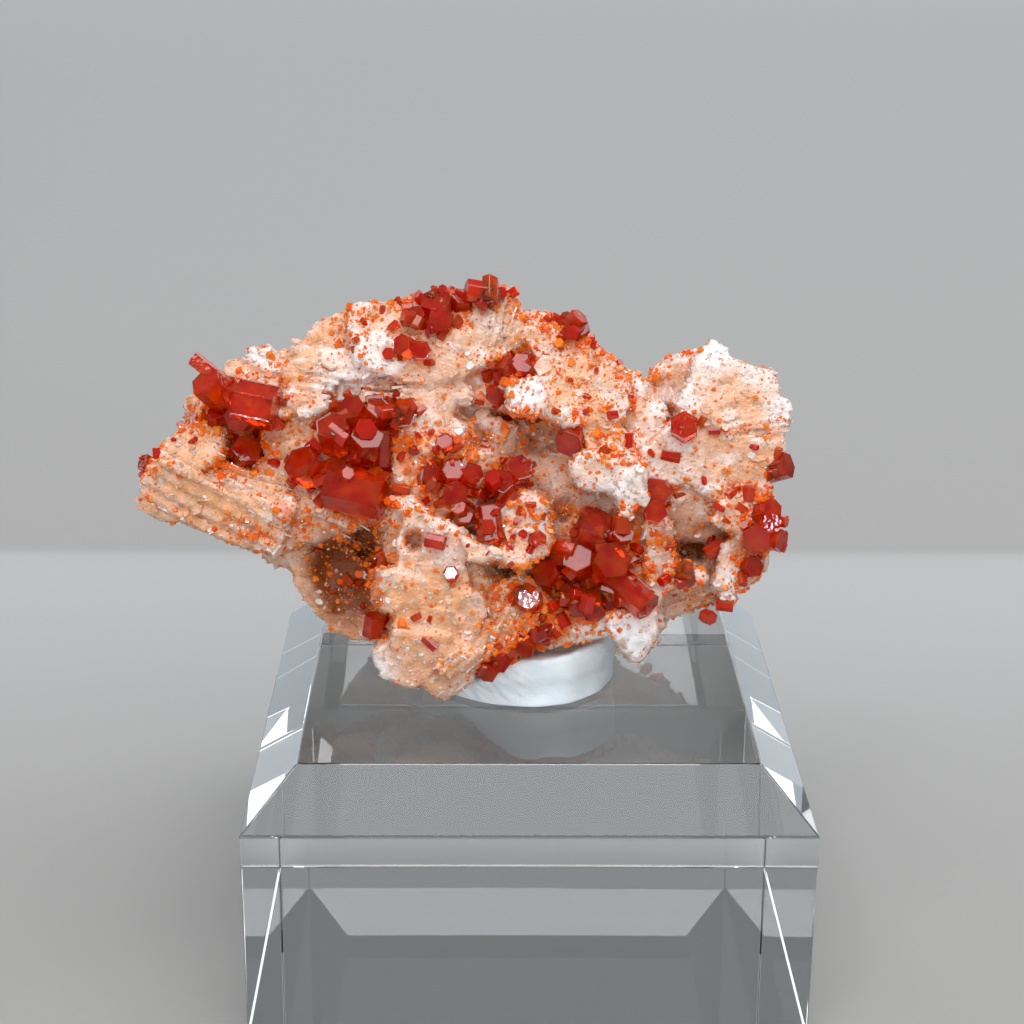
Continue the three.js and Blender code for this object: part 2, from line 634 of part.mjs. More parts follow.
// ------------------------------------------------------ vanadinite crystals
// A crystal is a six sided prism. at is where it stands on the matrix, as
// [x, z]; size is its radius across the corners and its length; axis points
// along the prism, with y below zero towards the viewer; out is how far its
// middle stands in front of the matrix; relief sets that height directly.
const CLUSTERS = {
  wing_top: [
    { at: [-25.4, 9.5], size: [0.72, 4.3], axis: [0.78, -0.1, -0.62], relief: 2.2 },
    { at: [-25.2, 7.9], size: [1.55, 2.7], axis: [-0.45, -0.7, 0.5], relief: 2.2 },
    { at: [-23.2, 7.2], size: [1, 2], axis: [-0.2, -0.5, 0.85], relief: 2.8 },
    { at: [-21, 6.4], size: [2.15, 3.8], axis: [0.95, -0.15, -0.2], out: 1.2 },
    { at: [-22.4, 5.4], size: [1.35, 2.4], axis: [-0.3, -0.9, -0.2], relief: 3 },
  ],
  wing_hollow: [{ at: [-22.4, 2.1], size: [1.5, 2.2], axis: [0.2, -0.9, 0.3], relief: 0.4 }],
  wing_rim: [{ at: [-25.2, 5.3], size: [0.8, 1.4], axis: [0.2, -0.7, 0.7], relief: 1 }],
  wing_tip: [{ at: [-31.3, 0.9], size: [0.85, 1.6], axis: [-0.7, -0.5, 0.4], relief: 0.8 }],
  main_left: [
    { at: [-13.8, 3.6], size: [1.6, 3], axis: [-0.15, -0.78, 0.6], out: 2.4 },
    { at: [-11, 2.8], size: [1.55, 2.8], axis: [0.2, -0.8, 0.55], out: 2.2 },
    { at: [-11.8, -1.4], size: [2.3, 5.4], axis: [0.93, -0.2, -0.22], out: 1.7 },
    { at: [-13.4, -0.2], size: [1.6, 3], axis: [-0.5, -0.75, 0.35], out: 1.4 },
    { at: [-16.4, 0.6], size: [1.75, 2.9], axis: [-0.5, -0.75, 0.35], out: 0.9 },
    { at: [-10.1, 5.4], size: [1.35, 2.4], axis: [0.3, -0.7, 0.6], out: 1.3 },
    { at: [-12, 5.6], size: [1.35, 2.4], axis: [-0.3, -0.8, 0.5], out: 1 },
    { at: [-9.4, 2.5], size: [0.75, 3.4], axis: [0.05, -0.25, 0.95], out: 1.6 },
  ],
  knob: [{ at: [-7.6, 5.3], size: [1.15, 1.7], axis: [0.2, -0.95, 0.1], out: 0.9 }],
  crown: [
    { at: [-6.1, 14.3], size: [1.05, 2], axis: [-0.4, -0.75, 0.4], out: 0.5 },
    { at: [-4.5, 15.4], size: [1.55, 2.4], axis: [-0.1, -0.7, 0.65], out: 0.7 },
    { at: [-4.2, 14.2], size: [1.25, 2.2], axis: [0.1, -0.9, 0.1], out: 0.8 },
    { at: [-2.3, 15.9], size: [1.1, 2], axis: [0.2, -0.7, 0.6], out: 0.6 },
    { at: [0, 16.5], size: [1.2, 1.8], axis: [0.1, -0.93, 0.3], out: 0.5 },
  ],
  upper_pair: [
    { at: [-7.3, 11.8], size: [1.05, 1.7], axis: [-0.5, -0.8, 0.2], out: 0.5 },
    { at: [-6, 11.3], size: [0.98, 1.6], axis: [0.15, -0.97, 0.1], out: 0.6 },
  ],
  upper_orange: [{ at: [-8.9, 11.1], size: [0.62, 1], axis: [0, -1, 0.1], out: 0.15 }],
  upper_chip: [{ at: [-8.6, 13.6], size: [0.45, 1.4], axis: [0.75, -0.3, 0.6], out: 0.15 }],
  mid_top: [
    { at: [1.9, 10.2], size: [1.1, 2], axis: [-0.4, -0.75, 0.5], out: 0.9 },
    { at: [3.2, 10], size: [1.05, 2], axis: [0.2, -0.85, 0.4], out: 0.9 },
    { at: [4.3, 10.4], size: [0.85, 1.6], axis: [0.5, -0.75, 0.4], out: 0.9 },
  ],
  mid_low: [{ at: [0.9, 7.4], size: [0.9, 1.6], axis: [0.3, -0.85, -0.3], out: 0.3 }],
  plateau_crest: [
    { at: [7.4, 14.1], size: [0.85, 2], axis: [0.5, -0.5, 0.7], relief: 1.2 },
    { at: [8.3, 13.4], size: [1.15, 2.1], axis: [0.4, -0.8, 0.45], relief: 2 },
  ],
  barrel: [{ at: [7.9, 3.4], size: [1.35, 2.4], axis: [-0.25, -0.8, -0.45], relief: 3.6 }],
  hex_pair: [
    { at: [15.9, -1.5], size: [1.45, 1.5], axis: [-0.35, -0.92, -0.1], relief: 3.6 },
    { at: [15.6, -3.4], size: [1.1, 1.6], axis: [0.1, -0.97, 0.15], relief: 3.9 },
  ],
  tablet_right: [{ at: [17.1, 1.8], size: [0.56, 1.8], axis: [0.96, -0.05, -0.18], out: 0.2 }],
  right_upper: [{ at: [18.3, 4.4], size: [1.4, 1.7], axis: [-0.1, -0.95, 0.2], out: 0.4 }],
  right_chip: [{ at: [21.1, 4.2], size: [0.45, 1.1], axis: [0.97, -0.1, 0.05], out: 0.15 }],
  edge_crystal: [{ at: [27.1, 0.8], size: [1.3, 2.2], axis: [0.75, -0.55, 0.2], relief: 2.8 }],
  edge_cluster: [
    { at: [25.9, -3.3], size: [1.15, 2], axis: [0.5, -0.8, 0.2], out: 0.7 },
    { at: [25.1, -5.7], size: [1.45, 2.2], axis: [-0.2, -0.9, -0.2], out: 0.8 },
    { at: [26.6, -5.8], size: [1.1, 2], axis: [0.7, -0.6, -0.2], out: 0.6 },
    { at: [26, -4.4], size: [1, 1.9], axis: [0.3, -0.9, 0.1], out: 1 },
  ],
  cheek_crystal: [{ at: [24.6, -8.4], size: [1.05, 1.7], axis: [0.4, -0.9, 0], out: 0.4 }],
  pocket_crystal: [{ at: [21.8, -6.9], size: [0.8, 1.5], axis: [-0.2, -0.9, -0.1], relief: 1 }],
  tongue_crystal: [{ at: [18.2, -9.1], size: [0.85, 1.2], axis: [0.2, -0.95, 0], out: 0.3 }],
  blade_chip_right: [{ at: [22.3, -12], size: [0.58, 1.6], axis: [0.97, -0.2, -0.1], relief: 2.2 }],
  blade_chip_left: [{ at: [20.8, -13.1], size: [0.7, 1.2], axis: [0.6, -0.8, -0.2], relief: 1.4 }],
  main_right: [
    { at: [13.5, -10.8], size: [1.42, 4.4], axis: [0.68, -0.42, -0.6], out: 2.6 },
    { at: [10.1, -5.3], size: [1.9, 3], axis: [0.3, -0.7, 0.65], out: 1.2 },
    { at: [11.3, -8.2], size: [1.85, 3.2], axis: [0.25, -0.92, 0.3], out: 2.2 },
    { at: [8.8, -8.2], size: [1.5, 2.8], axis: [-0.2, -0.85, 0.45], out: 1.8 },
    { at: [8.4, -11.4], size: [1.2, 2.6], axis: [0.35, -0.65, -0.65], out: 2 },
    { at: [10, -12], size: [1.1, 2.3], axis: [0, -0.8, -0.6], out: 2.2 },
    { at: [6, -9.2], size: [1.35, 2.4], axis: [-0.4, -0.85, 0.2], out: 1.2 },
    { at: [7.4, -7.5], size: [1.2, 2.4], axis: [-0.5, -0.75, 0.2], out: 1.3 },
    { at: [12.3, -5.7], size: [1.15, 2.4], axis: [0.3, -0.8, 0.4], relief: 3.4 },
  ],
  foot: [{ at: [4.2, -11.6], size: [1.25, 2.2], axis: [-0.2, -0.9, 0.3], out: 0.5 }],
  seam_right: [
    { at: [4.7, -14.9], size: [0.8, 2.6], axis: [0.86, -0.3, 0.4], out: 0.4 },
    { at: [3.9, -15.7], size: [0.95, 1.9], axis: [-0.3, -0.8, -0.4], out: 0.4 },
  ],
  seam_left: [
    { at: [1.6, -16.9], size: [1.05, 2], axis: [-0.3, -0.8, -0.4], out: 0.4 },
    { at: [0.5, -17.9], size: [0.95, 1.8], axis: [-0.3, -0.7, -0.5], out: 0.3 },
  ],
  centre: [
    { at: [-4.6, -0.2], size: [1.05, 2], axis: [-0.4, -0.85, 0.3], out: 0.7 },
    { at: [-3, 0], size: [1.15, 2.2], axis: [0.1, -0.85, 0.45], out: 0.9 },
    { at: [-1.5, -0.2], size: [1.15, 2.1], axis: [0.4, -0.85, 0.3], out: 0.8 },
    { at: [-2.6, -1.6], size: [1.25, 2.2], axis: [-0.1, -0.95, -0.1], out: 0.9 },
    { at: [-1.8, -3.4], size: [1.05, 1.9], axis: [0.1, -0.85, -0.4], out: 0.7 },
    { at: [0.5, -4.6], size: [1.38, 3.4], axis: [0.1, -0.28, -0.95], relief: 5 },
    { at: [2.1, -2.4], size: [0.72, 2.6], axis: [0.62, -0.3, 0.68], relief: 4.8 },
  ],
  centre_top: [
    { at: [1.5, -0.8], size: [1.2, 2.4], axis: [0, -0.9, 0.2], relief: 3.6 },
    { at: [2.9, 0.4], size: [1.3, 2.2], axis: [0.3, -0.85, 0.3], relief: 3.2 },
  ],
  rubble_crystal: [{ at: [-3.6, 2.8], size: [0.85, 1.5], axis: [-0.1, -0.85, 0.4], out: 0.2 }],
  rubble_left: [{ at: [-6.4, 2.4], size: [0.55, 1.2], axis: [-0.3, -0.9, -0.3], out: 0.2 }],
  tablet_centre: [{ at: [-4.5, -6.1], size: [0.78, 1.9], axis: [0.97, -0.12, -0.2], out: 0.4 }],
  mirror: [{ at: [-3.1, -9.1], size: [0.75, 0.9], axis: [0.04, -0.93, 0.34], out: 0.35 }],
  lip_crystal: [{ at: [4.7, -5.9], size: [0.85, 1.2], axis: [0.3, -0.9, 0.1], out: 0.3 }],
  lip_chip: [{ at: [3.4, -5.4], size: [0.45, 0.8], axis: [0.2, -0.96, 0.1], out: 0.15 }],
  recess_prism: [{ at: [-10.4, -14], size: [1.05, 2.1], axis: [0.15, -0.4, 0.9], relief: 0.2 }],
  toe_tablet: [{ at: [-5, -15.4], size: [0.5, 1.6], axis: [0.72, -0.15, -0.66], out: 0.2 }],
  back_group: [
    { at: [-8, 5], size: [1.4, 2.4], axis: [-0.3, 0.9, 0.3], back: 13.6 },
    { at: [-6.4, 5.6], size: [1.1, 2], axis: [0.4, 0.85, 0.3], back: 13.4 },
    { at: [-7.4, 3.6], size: [1, 2], axis: [0, 0.9, -0.3], back: 13.8 },
  ],
};

// The front of the matrix at (x, z), as relief towards the viewer.
function frontAt(x, z) {
  const reliefs = Object.values(FACES)
    .filter(({ outline }) => inside(outline, x, z))
    .map((face) => reliefAt(face, x, z));
  return Math.max(...reliefs, FACES.body.relief);
}

function crystalSolid({ at, size, axis, out = 0.3, relief, back }) {
  const [radius, length] = size;
  const firstTurn = at[0] * 1.7 + at[1] * 2.3; // so that neighbours don't line up
  const hexagon = Array.from({ length: 6 }, (_, corner) => {
    const turn = firstTurn + (corner * Math.PI) / 3;
    return new THREE.Vector2(radius * Math.cos(turn), radius * Math.sin(turn));
  });
  const geometry = new THREE.ExtrudeGeometry(new THREE.Shape(hexagon), {
    depth: length,
    bevelEnabled: false,
  });
  const along = new THREE.Vector3(...axis).normalize();
  geometry.translate(0, 0, -length / 2);
  geometry.applyQuaternion(new THREE.Quaternion().setFromUnitVectors(Z_AXIS, along));
  const height = relief ?? frontAt(...at) + out;
  return solidOf(geometry.translate(at[0], back ?? -height, at[1]));
}

// A group of crystals that grew together is one solid. The matrix, moved by the
// gap along the group's mean direction, is cut from it, and then the matrix
// itself, where a face leans over a crystal.
function clusterSolid(crystals, matrix) {
  const outward = new THREE.Vector3();
  crystals.forEach(({ axis, back }) => {
    outward.add(new THREE.Vector3(axis[0] / 2, back ? 1 : -1, axis[2] / 2));
  });
  outward.setLength(GAP);
  const grown = joined(crystals.map(crystalSolid));
  const seated = grown.subtract(matrix.translate(outward.x, outward.y, outward.z));
  return largestBody(seated.subtract(matrix));
}

// ------------------------------------------------------------- mineral tack
// A ball of putty pressed into a thick pad, wider than its foot.
function tackGeometry() {
  const profile = [
    [0, 0],
    [0.76, 0],
    [0.98, 0.25],
    [0.98, 0.6],
    [0.6, 0.95],
    [0, 1],
  ].map(([r, h]) => new THREE.Vector2(r * TACK_RADIUS, h * TACK_HEIGHT));
  return new THREE.LatheGeometry(profile, 14)
    .rotateX(Math.PI / 2)
    .translate(...TACK_CENTRE, BLOCK_HEIGHT + GAP);
}

// ----------------------------------------------------------------- materials
const acrylic = new THREE.MeshStandardMaterial({
  color: 0xe9eef0,
  roughness: 0.03,
  metalness: 0,
  transparent: true,
  opacity: 0.35,
});
const putty = new THREE.MeshStandardMaterial({ color: 0xe6e9ea, roughness: 0.75, metalness: 0 });
const barite = new THREE.MeshStandardMaterial({ color: 0xe8cdb8, roughness: 0.6, metalness: 0 });
const vanadinite = new THREE.MeshStandardMaterial({
  color: 0xb32a12,
  roughness: 0.2,
  metalness: 0,
});

// ------------------------------------------------------------------ assembly
const lean = new THREE.Matrix4().makeRotationX(THREE.MathUtils.degToRad(-SPECIMEN_LEAN_DEG));
lean.setPosition(...SPECIMEN_CENTRE);

const matrix = largestBody(matrixSolid());
const standing = matrix.transform(lean.elements);

const specimen = new THREE.Group();
specimen.applyMatrix4(lean);
specimen.add(meshOf("barite_matrix", matrix, barite));
for (const [name, crystals] of Object.entries(CLUSTERS)) {
  specimen.add(meshOf(`vanadinite_${name}`, clusterSolid(crystals, matrix), vanadinite));
}

const tack = largestBody(
  solidOf(tackGeometry()).subtract(standing.translate(0, 0, -GAP)).subtract(standing),
);

const part = new THREE.Group();
part.add(meshOf("display_block", solidOf(blockGeometry()), acrylic));
part.add(meshOf("mineral_tack", tack, putty));
part.add(specimen);

export default part;
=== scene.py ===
# %% [markdown]
# # Vanadinite on barite, on its display block
#
# A hand specimen of red vanadinite crystals on a pale, bladed barite matrix. A pad of
# white mineral tack holds it on a clear acrylic block. The construction comes packed, as
# a frame of faceted solids at their real size. This lesson gives each of them its real
# surface: rock that is sugary and bladed, crystals that glow, putty with finger marks,
# and polished acrylic.

# %% The frame
from math import cos, radians, sin

import bpy
import numpy as np
from mathutils import Matrix, Vector, noise
from mathutils.bvhtree import BVHTree


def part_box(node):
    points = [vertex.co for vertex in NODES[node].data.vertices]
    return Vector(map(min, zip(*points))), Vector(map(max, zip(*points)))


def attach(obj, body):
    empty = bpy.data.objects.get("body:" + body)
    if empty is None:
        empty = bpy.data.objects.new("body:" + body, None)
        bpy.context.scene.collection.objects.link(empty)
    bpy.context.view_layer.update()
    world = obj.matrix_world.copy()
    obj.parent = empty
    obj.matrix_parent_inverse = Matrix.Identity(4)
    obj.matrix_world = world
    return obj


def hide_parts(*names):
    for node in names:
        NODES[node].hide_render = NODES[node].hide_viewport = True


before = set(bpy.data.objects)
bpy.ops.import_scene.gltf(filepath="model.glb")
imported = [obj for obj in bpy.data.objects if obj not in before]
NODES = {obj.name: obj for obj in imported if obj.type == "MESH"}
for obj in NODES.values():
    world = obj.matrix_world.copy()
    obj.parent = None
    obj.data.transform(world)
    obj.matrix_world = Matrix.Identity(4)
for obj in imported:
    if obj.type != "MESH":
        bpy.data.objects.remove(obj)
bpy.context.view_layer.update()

MM = 0.001
print("nodes in the frame:", len(NODES))

# %% [markdown]
# ## The specimen's own frame
#
# The specimen leans back on its tack. It is far easier to think about it face on: x to
# the right, y into the rock and z up, in millimetres. One matrix carries that frame into
# the scene, and its inverse brings scene points back.

# %% The specimen's frame
LEAN_DEG = 20
SPECIMEN_CENTRE = Vector((-4, -2, 46)) * MM
LEAN = Matrix.Translation(SPECIMEN_CENTRE) @ Matrix.Rotation(radians(-LEAN_DEG), 4, "X")
TURN = np.array(LEAN.to_3x3())
CENTRE = np.array(SPECIMEN_CENTRE)


def to_scene(points):
    """Specimen points in millimetres, as scene points in metres."""
    return np.asarray(points, float) * MM @ TURN.T + CENTRE


def to_specimen(points):
    """Scene points in metres, as specimen points in millimetres."""
    return (np.asarray(points, float) - CENTRE) @ TURN / MM


# %% [markdown]
# ## Small helpers
#
# An operator acts on everything that is selected, so `alone` leaves one piece selected
# and active. Moving vertices in bulk is done with NumPy, which is how a sculpt can be
# repeated exactly.

# %% Helpers
def alone(piece):
    bpy.ops.object.select_all(action="DESELECT")
    piece.select_set(True)
    bpy.context.view_layer.objects.active = piece


def in_edit_mode(piece, operator, **settings):
    """Runs one mesh operator on the whole of a piece."""
    alone(piece)
    bpy.ops.object.mode_set(mode="EDIT")
    bpy.ops.mesh.select_all(action="SELECT")
    operator(**settings)
    bpy.ops.object.mode_set(mode="OBJECT")


def modify(piece, kind, **settings):
    """Adds one modifier and applies it."""
    alone(piece)
    modifier = piece.modifiers.new(kind.title(), kind)
    for name, value in settings.items():
        setattr(modifier, name, value)
    bpy.ops.object.modifier_apply(modifier=modifier.name)


def copy_of(node, name):
    """A free, flat shaded copy of a CAD node, its loose triangles joined."""
    piece = bpy.data.objects.new(name, NODES[node].data.copy())
    bpy.context.scene.collection.objects.link(piece)
    in_edit_mode(piece, bpy.ops.mesh.remove_doubles, threshold=0.001 * MM)
    bpy.ops.mesh.customdata_custom_splitnormals_clear()
    bpy.ops.object.shade_flat()
    return piece


def gathered(items, name, width, kind=float):
    """One property of many vertices, edges or triangles, as an array with a row for each."""
    flat = np.empty(len(items) * width, kind)
    items.foreach_get(name, flat)
    return flat.reshape(-1, width)


def places(piece):
    return gathered(piece.data.vertices, "co", 3)


def move_to(piece, points):
    piece.data.vertices.foreach_set("co", np.asarray(points, float).ravel())
    piece.data.update()


def normals(piece):
    return gathered(piece.data.vertex_normals, "vector", 3)


def triangles(piece):
    piece.data.calc_loop_triangles()
    return gathered(piece.data.loop_triangles, "vertices", 3, int)


def smoothstep(low, high, value):
    t = np.clip((value - low) / (high - low), 0, 1)
    return t * t * (3 - 2 * t)


# %% [markdown]
# ## Noise that can be repeated
#
# `lumps` is gentle rolling noise from -1 to 1. `facets` splits space into cells and
# gives each cell its own tilted plane, so a surface breaks into small flat faces with
# steps between them, as cleaved barite does. Both work on specimen millimetres, and
# `size` is the size of one feature.

# %% Noise
def lumps(points, size, seed=0.0):
    scaled = np.asarray(points) / size + seed
    return np.array([noise.noise(point) for point in scaled.tolist()])


CELL_SPIN, CELL_STEP = 7.31, 3.17


def facets(points, size, seed=0.0):
    scaled = np.asarray(points) / size + seed
    values = np.empty(len(scaled))
    for i, point in enumerate(scaled.tolist()):
        nearest = noise.voronoi(point)[1][0]
        tilt = noise.cell_vector(nearest * CELL_SPIN)
        offset = Vector(point) - nearest
        values[i] = offset.dot(tilt) + 0.3 * noise.cell(nearest * CELL_STEP)
    return values - values.mean()


def attribute(piece, name, values):
    """Keeps a number for each vertex, where materials can read it."""
    layer = piece.data.attributes.new(name, "FLOAT", "POINT")
    layer.data.foreach_set("value", np.asarray(values, np.float32))


# %% [markdown]
# ## The rock: one skin over the CAD facets
#
# The matrix comes as flat facets. Voxel remeshing wraps it in one even skin that is fine
# enough to sculpt, and a little smoothing takes the machined look off its steps.

# %% Remesh the matrix
ROCK_VOXEL = 0.29 * MM
rock = copy_of("barite_matrix", "barite_rock")
modify(rock, "REMESH", mode="VOXEL", voxel_size=ROCK_VOXEL, adaptivity=0)
modify(rock, "SMOOTH", factor=0.5, iterations=6)
alone(rock)
bpy.ops.object.shade_smooth()
print("rock triangles:", len(triangles(rock)))

# %% [markdown]
# ## Sculpting the rock
#
# The sculpt works from coarse to fine, always along the surface normal: rolling lumps,
# then chipped steps, then the ribs of blades that are seen edge on. The ribs lie in
# bundles, each with its own direction across the face, so each bundle is listed: its
# middle, how far it reaches along and across, and the slope of its blades.

# %% Blade bundles
BUNDLES = {
    "wing": {"middle": (-25.2, -3), "reach": (8, 3.6), "slope": -29, "pitch": 1.15},
    "wing_lip": {"middle": (-21.8, -0.7), "reach": (4.6, 1.5), "slope": -16, "pitch": 0.8},
    "shoulder": {"middle": (-12, 8.2), "reach": (6.4, 1.9), "slope": -5, "pitch": 0.75},
    "left_brow": {"middle": (-20.4, 11.2), "reach": (3, 0.9), "slope": 4, "pitch": 0.6},
    "crown": {"middle": (1.5, 13.6), "reach": (2.6, 2), "slope": 80, "pitch": 0.6},
    "right_crack": {"middle": (24.7, 4.7), "reach": (3.6, 1.3), "slope": 9, "pitch": 0.6},
    "right_foot": {"middle": (19.6, -12.4), "reach": (4.2, 2.3), "slope": 20, "pitch": 0.75},
    "strut": {"middle": (-12.8, -4.4), "reach": (4.4, 1.6), "slope": -24, "pitch": 0.75},
    "seam": {"middle": (1.6, -14), "reach": (3.4, 2.6), "slope": 62, "pitch": 0.85},
    "toe": {"middle": (-3.2, -17.8), "reach": (2.2, 2.2), "slope": 40, "pitch": 0.8},
}


def along_and_across(bundle, points):
    """Distances from a bundle's middle, along its blades and across them."""
    slope = radians(bundle["slope"])
    dx = points[:, 0] - bundle["middle"][0]
    dz = points[:, 2] - bundle["middle"][1]
    return dx * cos(slope) + dz * sin(slope), dz * cos(slope) - dx * sin(slope)


def in_bundle(bundle, points):
    """1 in the middle of a bundle, falling to 0 at its rim and behind the front."""
    along, across = along_and_across(bundle, points)
    reach_along, reach_across = bundle["reach"]
    far = np.hypot(along / reach_along, across / reach_across)
    return (1 - smoothstep(0.7, 1.15, far)) * (1 - smoothstep(3, 7, points[:, 1]))


def ribs(points):
    """Blade edges standing out of the surface, in millimetres."""
    height = np.zeros(len(points))
    for seed, bundle in enumerate(BUNDLES.values()):
        along, across = along_and_across(bundle, points)
        stretched = np.column_stack([along / 6, points[:, 1] / 2.5, across])
        wander = lumps(stretched, 1.6, 11.0 + seed)
        phase = (across + 0.5 * wander) / bundle["pitch"]
        saw = phase - np.floor(phase)
        edge = np.minimum(saw / 0.25, (1 - saw) / 0.75)
        height += in_bundle(bundle, points) * (edge - 0.5) * (0.48 + 0.3 * wander)
    return height


# %% [markdown]
# ## Filling and hollowing
#
# The CAD plates leave gaps where they pass behind each other, and real barite grows
# across such gaps. A fill brings the front surface forward to a height, and a hollow
# pushes it back, each with a soft rim: x, z, radius, height, in millimetres.

# %% Fill gaps and press hollows
FRONT_DEPTH = (2, 5)
FILLS = [
    (-1.8, -9.8, 3.2, 3.4), (-11.8, 8.7, 2.6, 1.6), (-14.6, -8.4, 1.6, -1.2),
    (1.2, -11.8, 2.6, 3.2), (2.4, 8.4, 1.6, 2.4), (-8, 9.4, 2.4, 1.4),
]
HOLLOWS = [
    (-22.4, 2.4, 1.9, -0.6), (-13.4, -9.2, 3, -3.4), (-12.6, -13, 2.4, -2.8),
    (-11.2, -6.2, 1.6, -2), (18.6, -7, 1.2, -1.6), (20, -7.8, 1, -1.8), (7, -3.4, 1.3, 1),
    (-1.4, 5.9, 1.2, 0), (16.6, 8.2, 1.4, -1.2), (-0.6, 3.6, 1.4, 0.6), (5.4, 3.4, 1.8, -0.4),
    (-6.6, -6, 1, 1.6), (1, -8.6, 0.9, 1.4),
]


def pulled(points, marks, fill):
    """Front points drawn to each mark's height, if that fills (or hollows) them."""
    moved = points.copy()
    for x, z, radius, height in marks:
        far = np.hypot(points[:, 0] - x, points[:, 2] - z) / radius
        soft = (1 - smoothstep(0.55, 1.25, far)) * (1 - smoothstep(*FRONT_DEPTH, points[:, 1]))
        gap = -height - moved[:, 1]
        moved[:, 1] += soft * (np.minimum(gap, 0) if fill else np.maximum(gap, 0))
    return moved


spots = pulled(to_specimen(places(rock)), FILLS, fill=True)
move_to(rock, to_scene(pulled(spots, HOLLOWS, fill=False)))
modify(rock, "SMOOTH", factor=0.5, iterations=3)

# %% Sculpt the rock
SMOOTH_WING = {"middle": (-26, -1), "reach": (9, 7), "slope": -20}
spots = to_specimen(places(rock))
broad = lumps(spots, 6, 3.0)
middling = lumps(spots, 2.1, 17.0)
stepped = facets(spots * (0.7, 1, 1.2), 2.4, 5.0)
chipped = facets(spots * (0.8, 1, 1.3), 1.1, 9.0)
fine = lumps(spots, 0.7, 29.0)
relief_mm = 0.15 + 0.34 * broad + 0.14 * middling + 0.04 * fine + ribs(spots)
relief_mm += (0.3 * stepped + 0.11 * chipped) * (1 - 0.6 * in_bundle(SMOOTH_WING, spots))
move_to(rock, places(rock) + normals(rock) * relief_mm[:, None] * MM)
print("relief from", relief_mm.min().round(2), "to", relief_mm.max().round(2), "mm")

# %% [markdown]
# ## Hollows and crests
#
# Iron stains gather in hollows, and crests stay clean and white. Comparing the surface
# with a much smoothed copy of itself says which is which. The result is kept as an
# attribute on the mesh, where the material reads it. Hollows also get painted shade:
# the colours made from them turn darker and browner, as shade falls there.

# %% Measure hollows
def smoothed(points, pairs, rounds):
    """Every vertex moved to the mean of its neighbours, a number of times."""
    ends = np.concatenate([pairs, pairs[:, ::-1]])
    count = np.bincount(ends[:, 0], minlength=len(points))[:, None]
    for _ in range(rounds):
        total = np.column_stack(
            [np.bincount(ends[:, 0], points[ends[:, 1], k], len(points)) for k in range(3)]
        )
        points = total / count
    return points


surface = places(rock)
outward = normals(rock)
pairs = gathered(rock.data.edges, "vertices", 2, int)
near = ((surface - smoothed(surface, pairs, 12)) * outward).sum(1) / MM
wide = ((surface - smoothed(surface, pairs, 90)) * outward).sum(1) / MM
crest = smoothstep(0.02, 0.3, near) * 0.6 + smoothstep(0.0, 1.2, wide) * 0.4
# hollow feeds painted shade as well as stain: the colours below turn darker and browner in it.
hollow = smoothstep(0.02, 0.3, -near) * 0.45 + smoothstep(0.1, 1.6, -wide) * 0.75
print("crest mean", crest.mean().round(3), "hollow mean", hollow.mean().round(3))

# %% [markdown]
# ## Where the colours lie
#
# The matrix is cream, with peach flushes, rusty brown pockets, chalky crests and milky
# plates. Round the red crystals a fine druse of vanadinite stains it orange. Part of the
# rust and peach is painted shade in recesses and on low faces, and part of the white is
# painted light on spots in shade. These soft blots on the front say where: x, z, radius
# and strength for each.

# %% Colour blots
# Rust blots: iron stain, and painted shade where recesses lie in shadow.
RUST_AND_PAINTED_SHADE = [
    (-21.5, 2.8, 2.6, 1.0), (-25, 5, 1.8, 0.7), (-14.2, -8.3, 2.8, 0.9), (-11, -6.6, 1.8, 1.0),
    (-13, -12.5, 2.6, 0.6), (-13, -9.2, 3, 1.1), (4.5, 2.6, 2.8, 0.5), (1, -1.5, 3, 0.45),
    (7, -3.5, 2, 0.8), (9.8, -2.4, 2, 0.7), (19.6, -7, 2.6, 0.75), (17.6, -5.2, 1.5, 0.6),
    (2, -15.5, 2.4, 0.55), (9.5, -8.5, 4, 0.55), (-12, 1.5, 4.5, 0.45), (24.5, -5.5, 2, 0.6),
    (-2.3, 1.2, 2.2, 0.4), (1, 6.2, 1.6, 0.6), (-4, 15.2, 2.4, 0.4), (6, -11.8, 2.6, 0.5),
    (22, 3.5, 2, 0.2), (-14.6, -7.2, 2.2, 0.9), (-12.8, -12, 2.6, 0.7), (-12, -9.6, 2.2, 0.6),
    (1.4, 3.3, 1.8, 0.5), (-10.4, -4.6, 1.4, 0.6), (16.4, -6.8, 1.4, 0.9),
]
# Peach blots: flushes of colour, and painted shade on lower faces and in grooves.
PEACH_AND_PAINTED_SHADE = [
    (-15.2, 13.3, 3, 1.0), (9.5, 10, 5, 0.6), (-25, -3, 5, 0.45), (-17, 8, 3, 0.35),
    (-13, -11, 4.5, 0.7), (4, -13, 4.5, 0.6), (11.5, 3, 3, 0.45), (24, 7.5, 3.5, 0.3),
    (-5, -10, 5, 0.25), (19.5, -12.5, 4, 0.5), (-9, 13.5, 3.5, 0.35), (-18.5, 1.5, 3, 0.5),
    (24, 1.5, 3, 0.45), (-5, 4, 4, 0.3), (-27, 6.5, 4, 0.6), (-26, 0, 4.5, 0.6), (-6, -13, 4, 0.4),
    (-21, -2, 3, 0.4), (-3, -8, 3, 0.2), (-12, 8, 4, 0.5), (-19, 9, 3, 0.3), (15, -2, 3, 0.3),
]
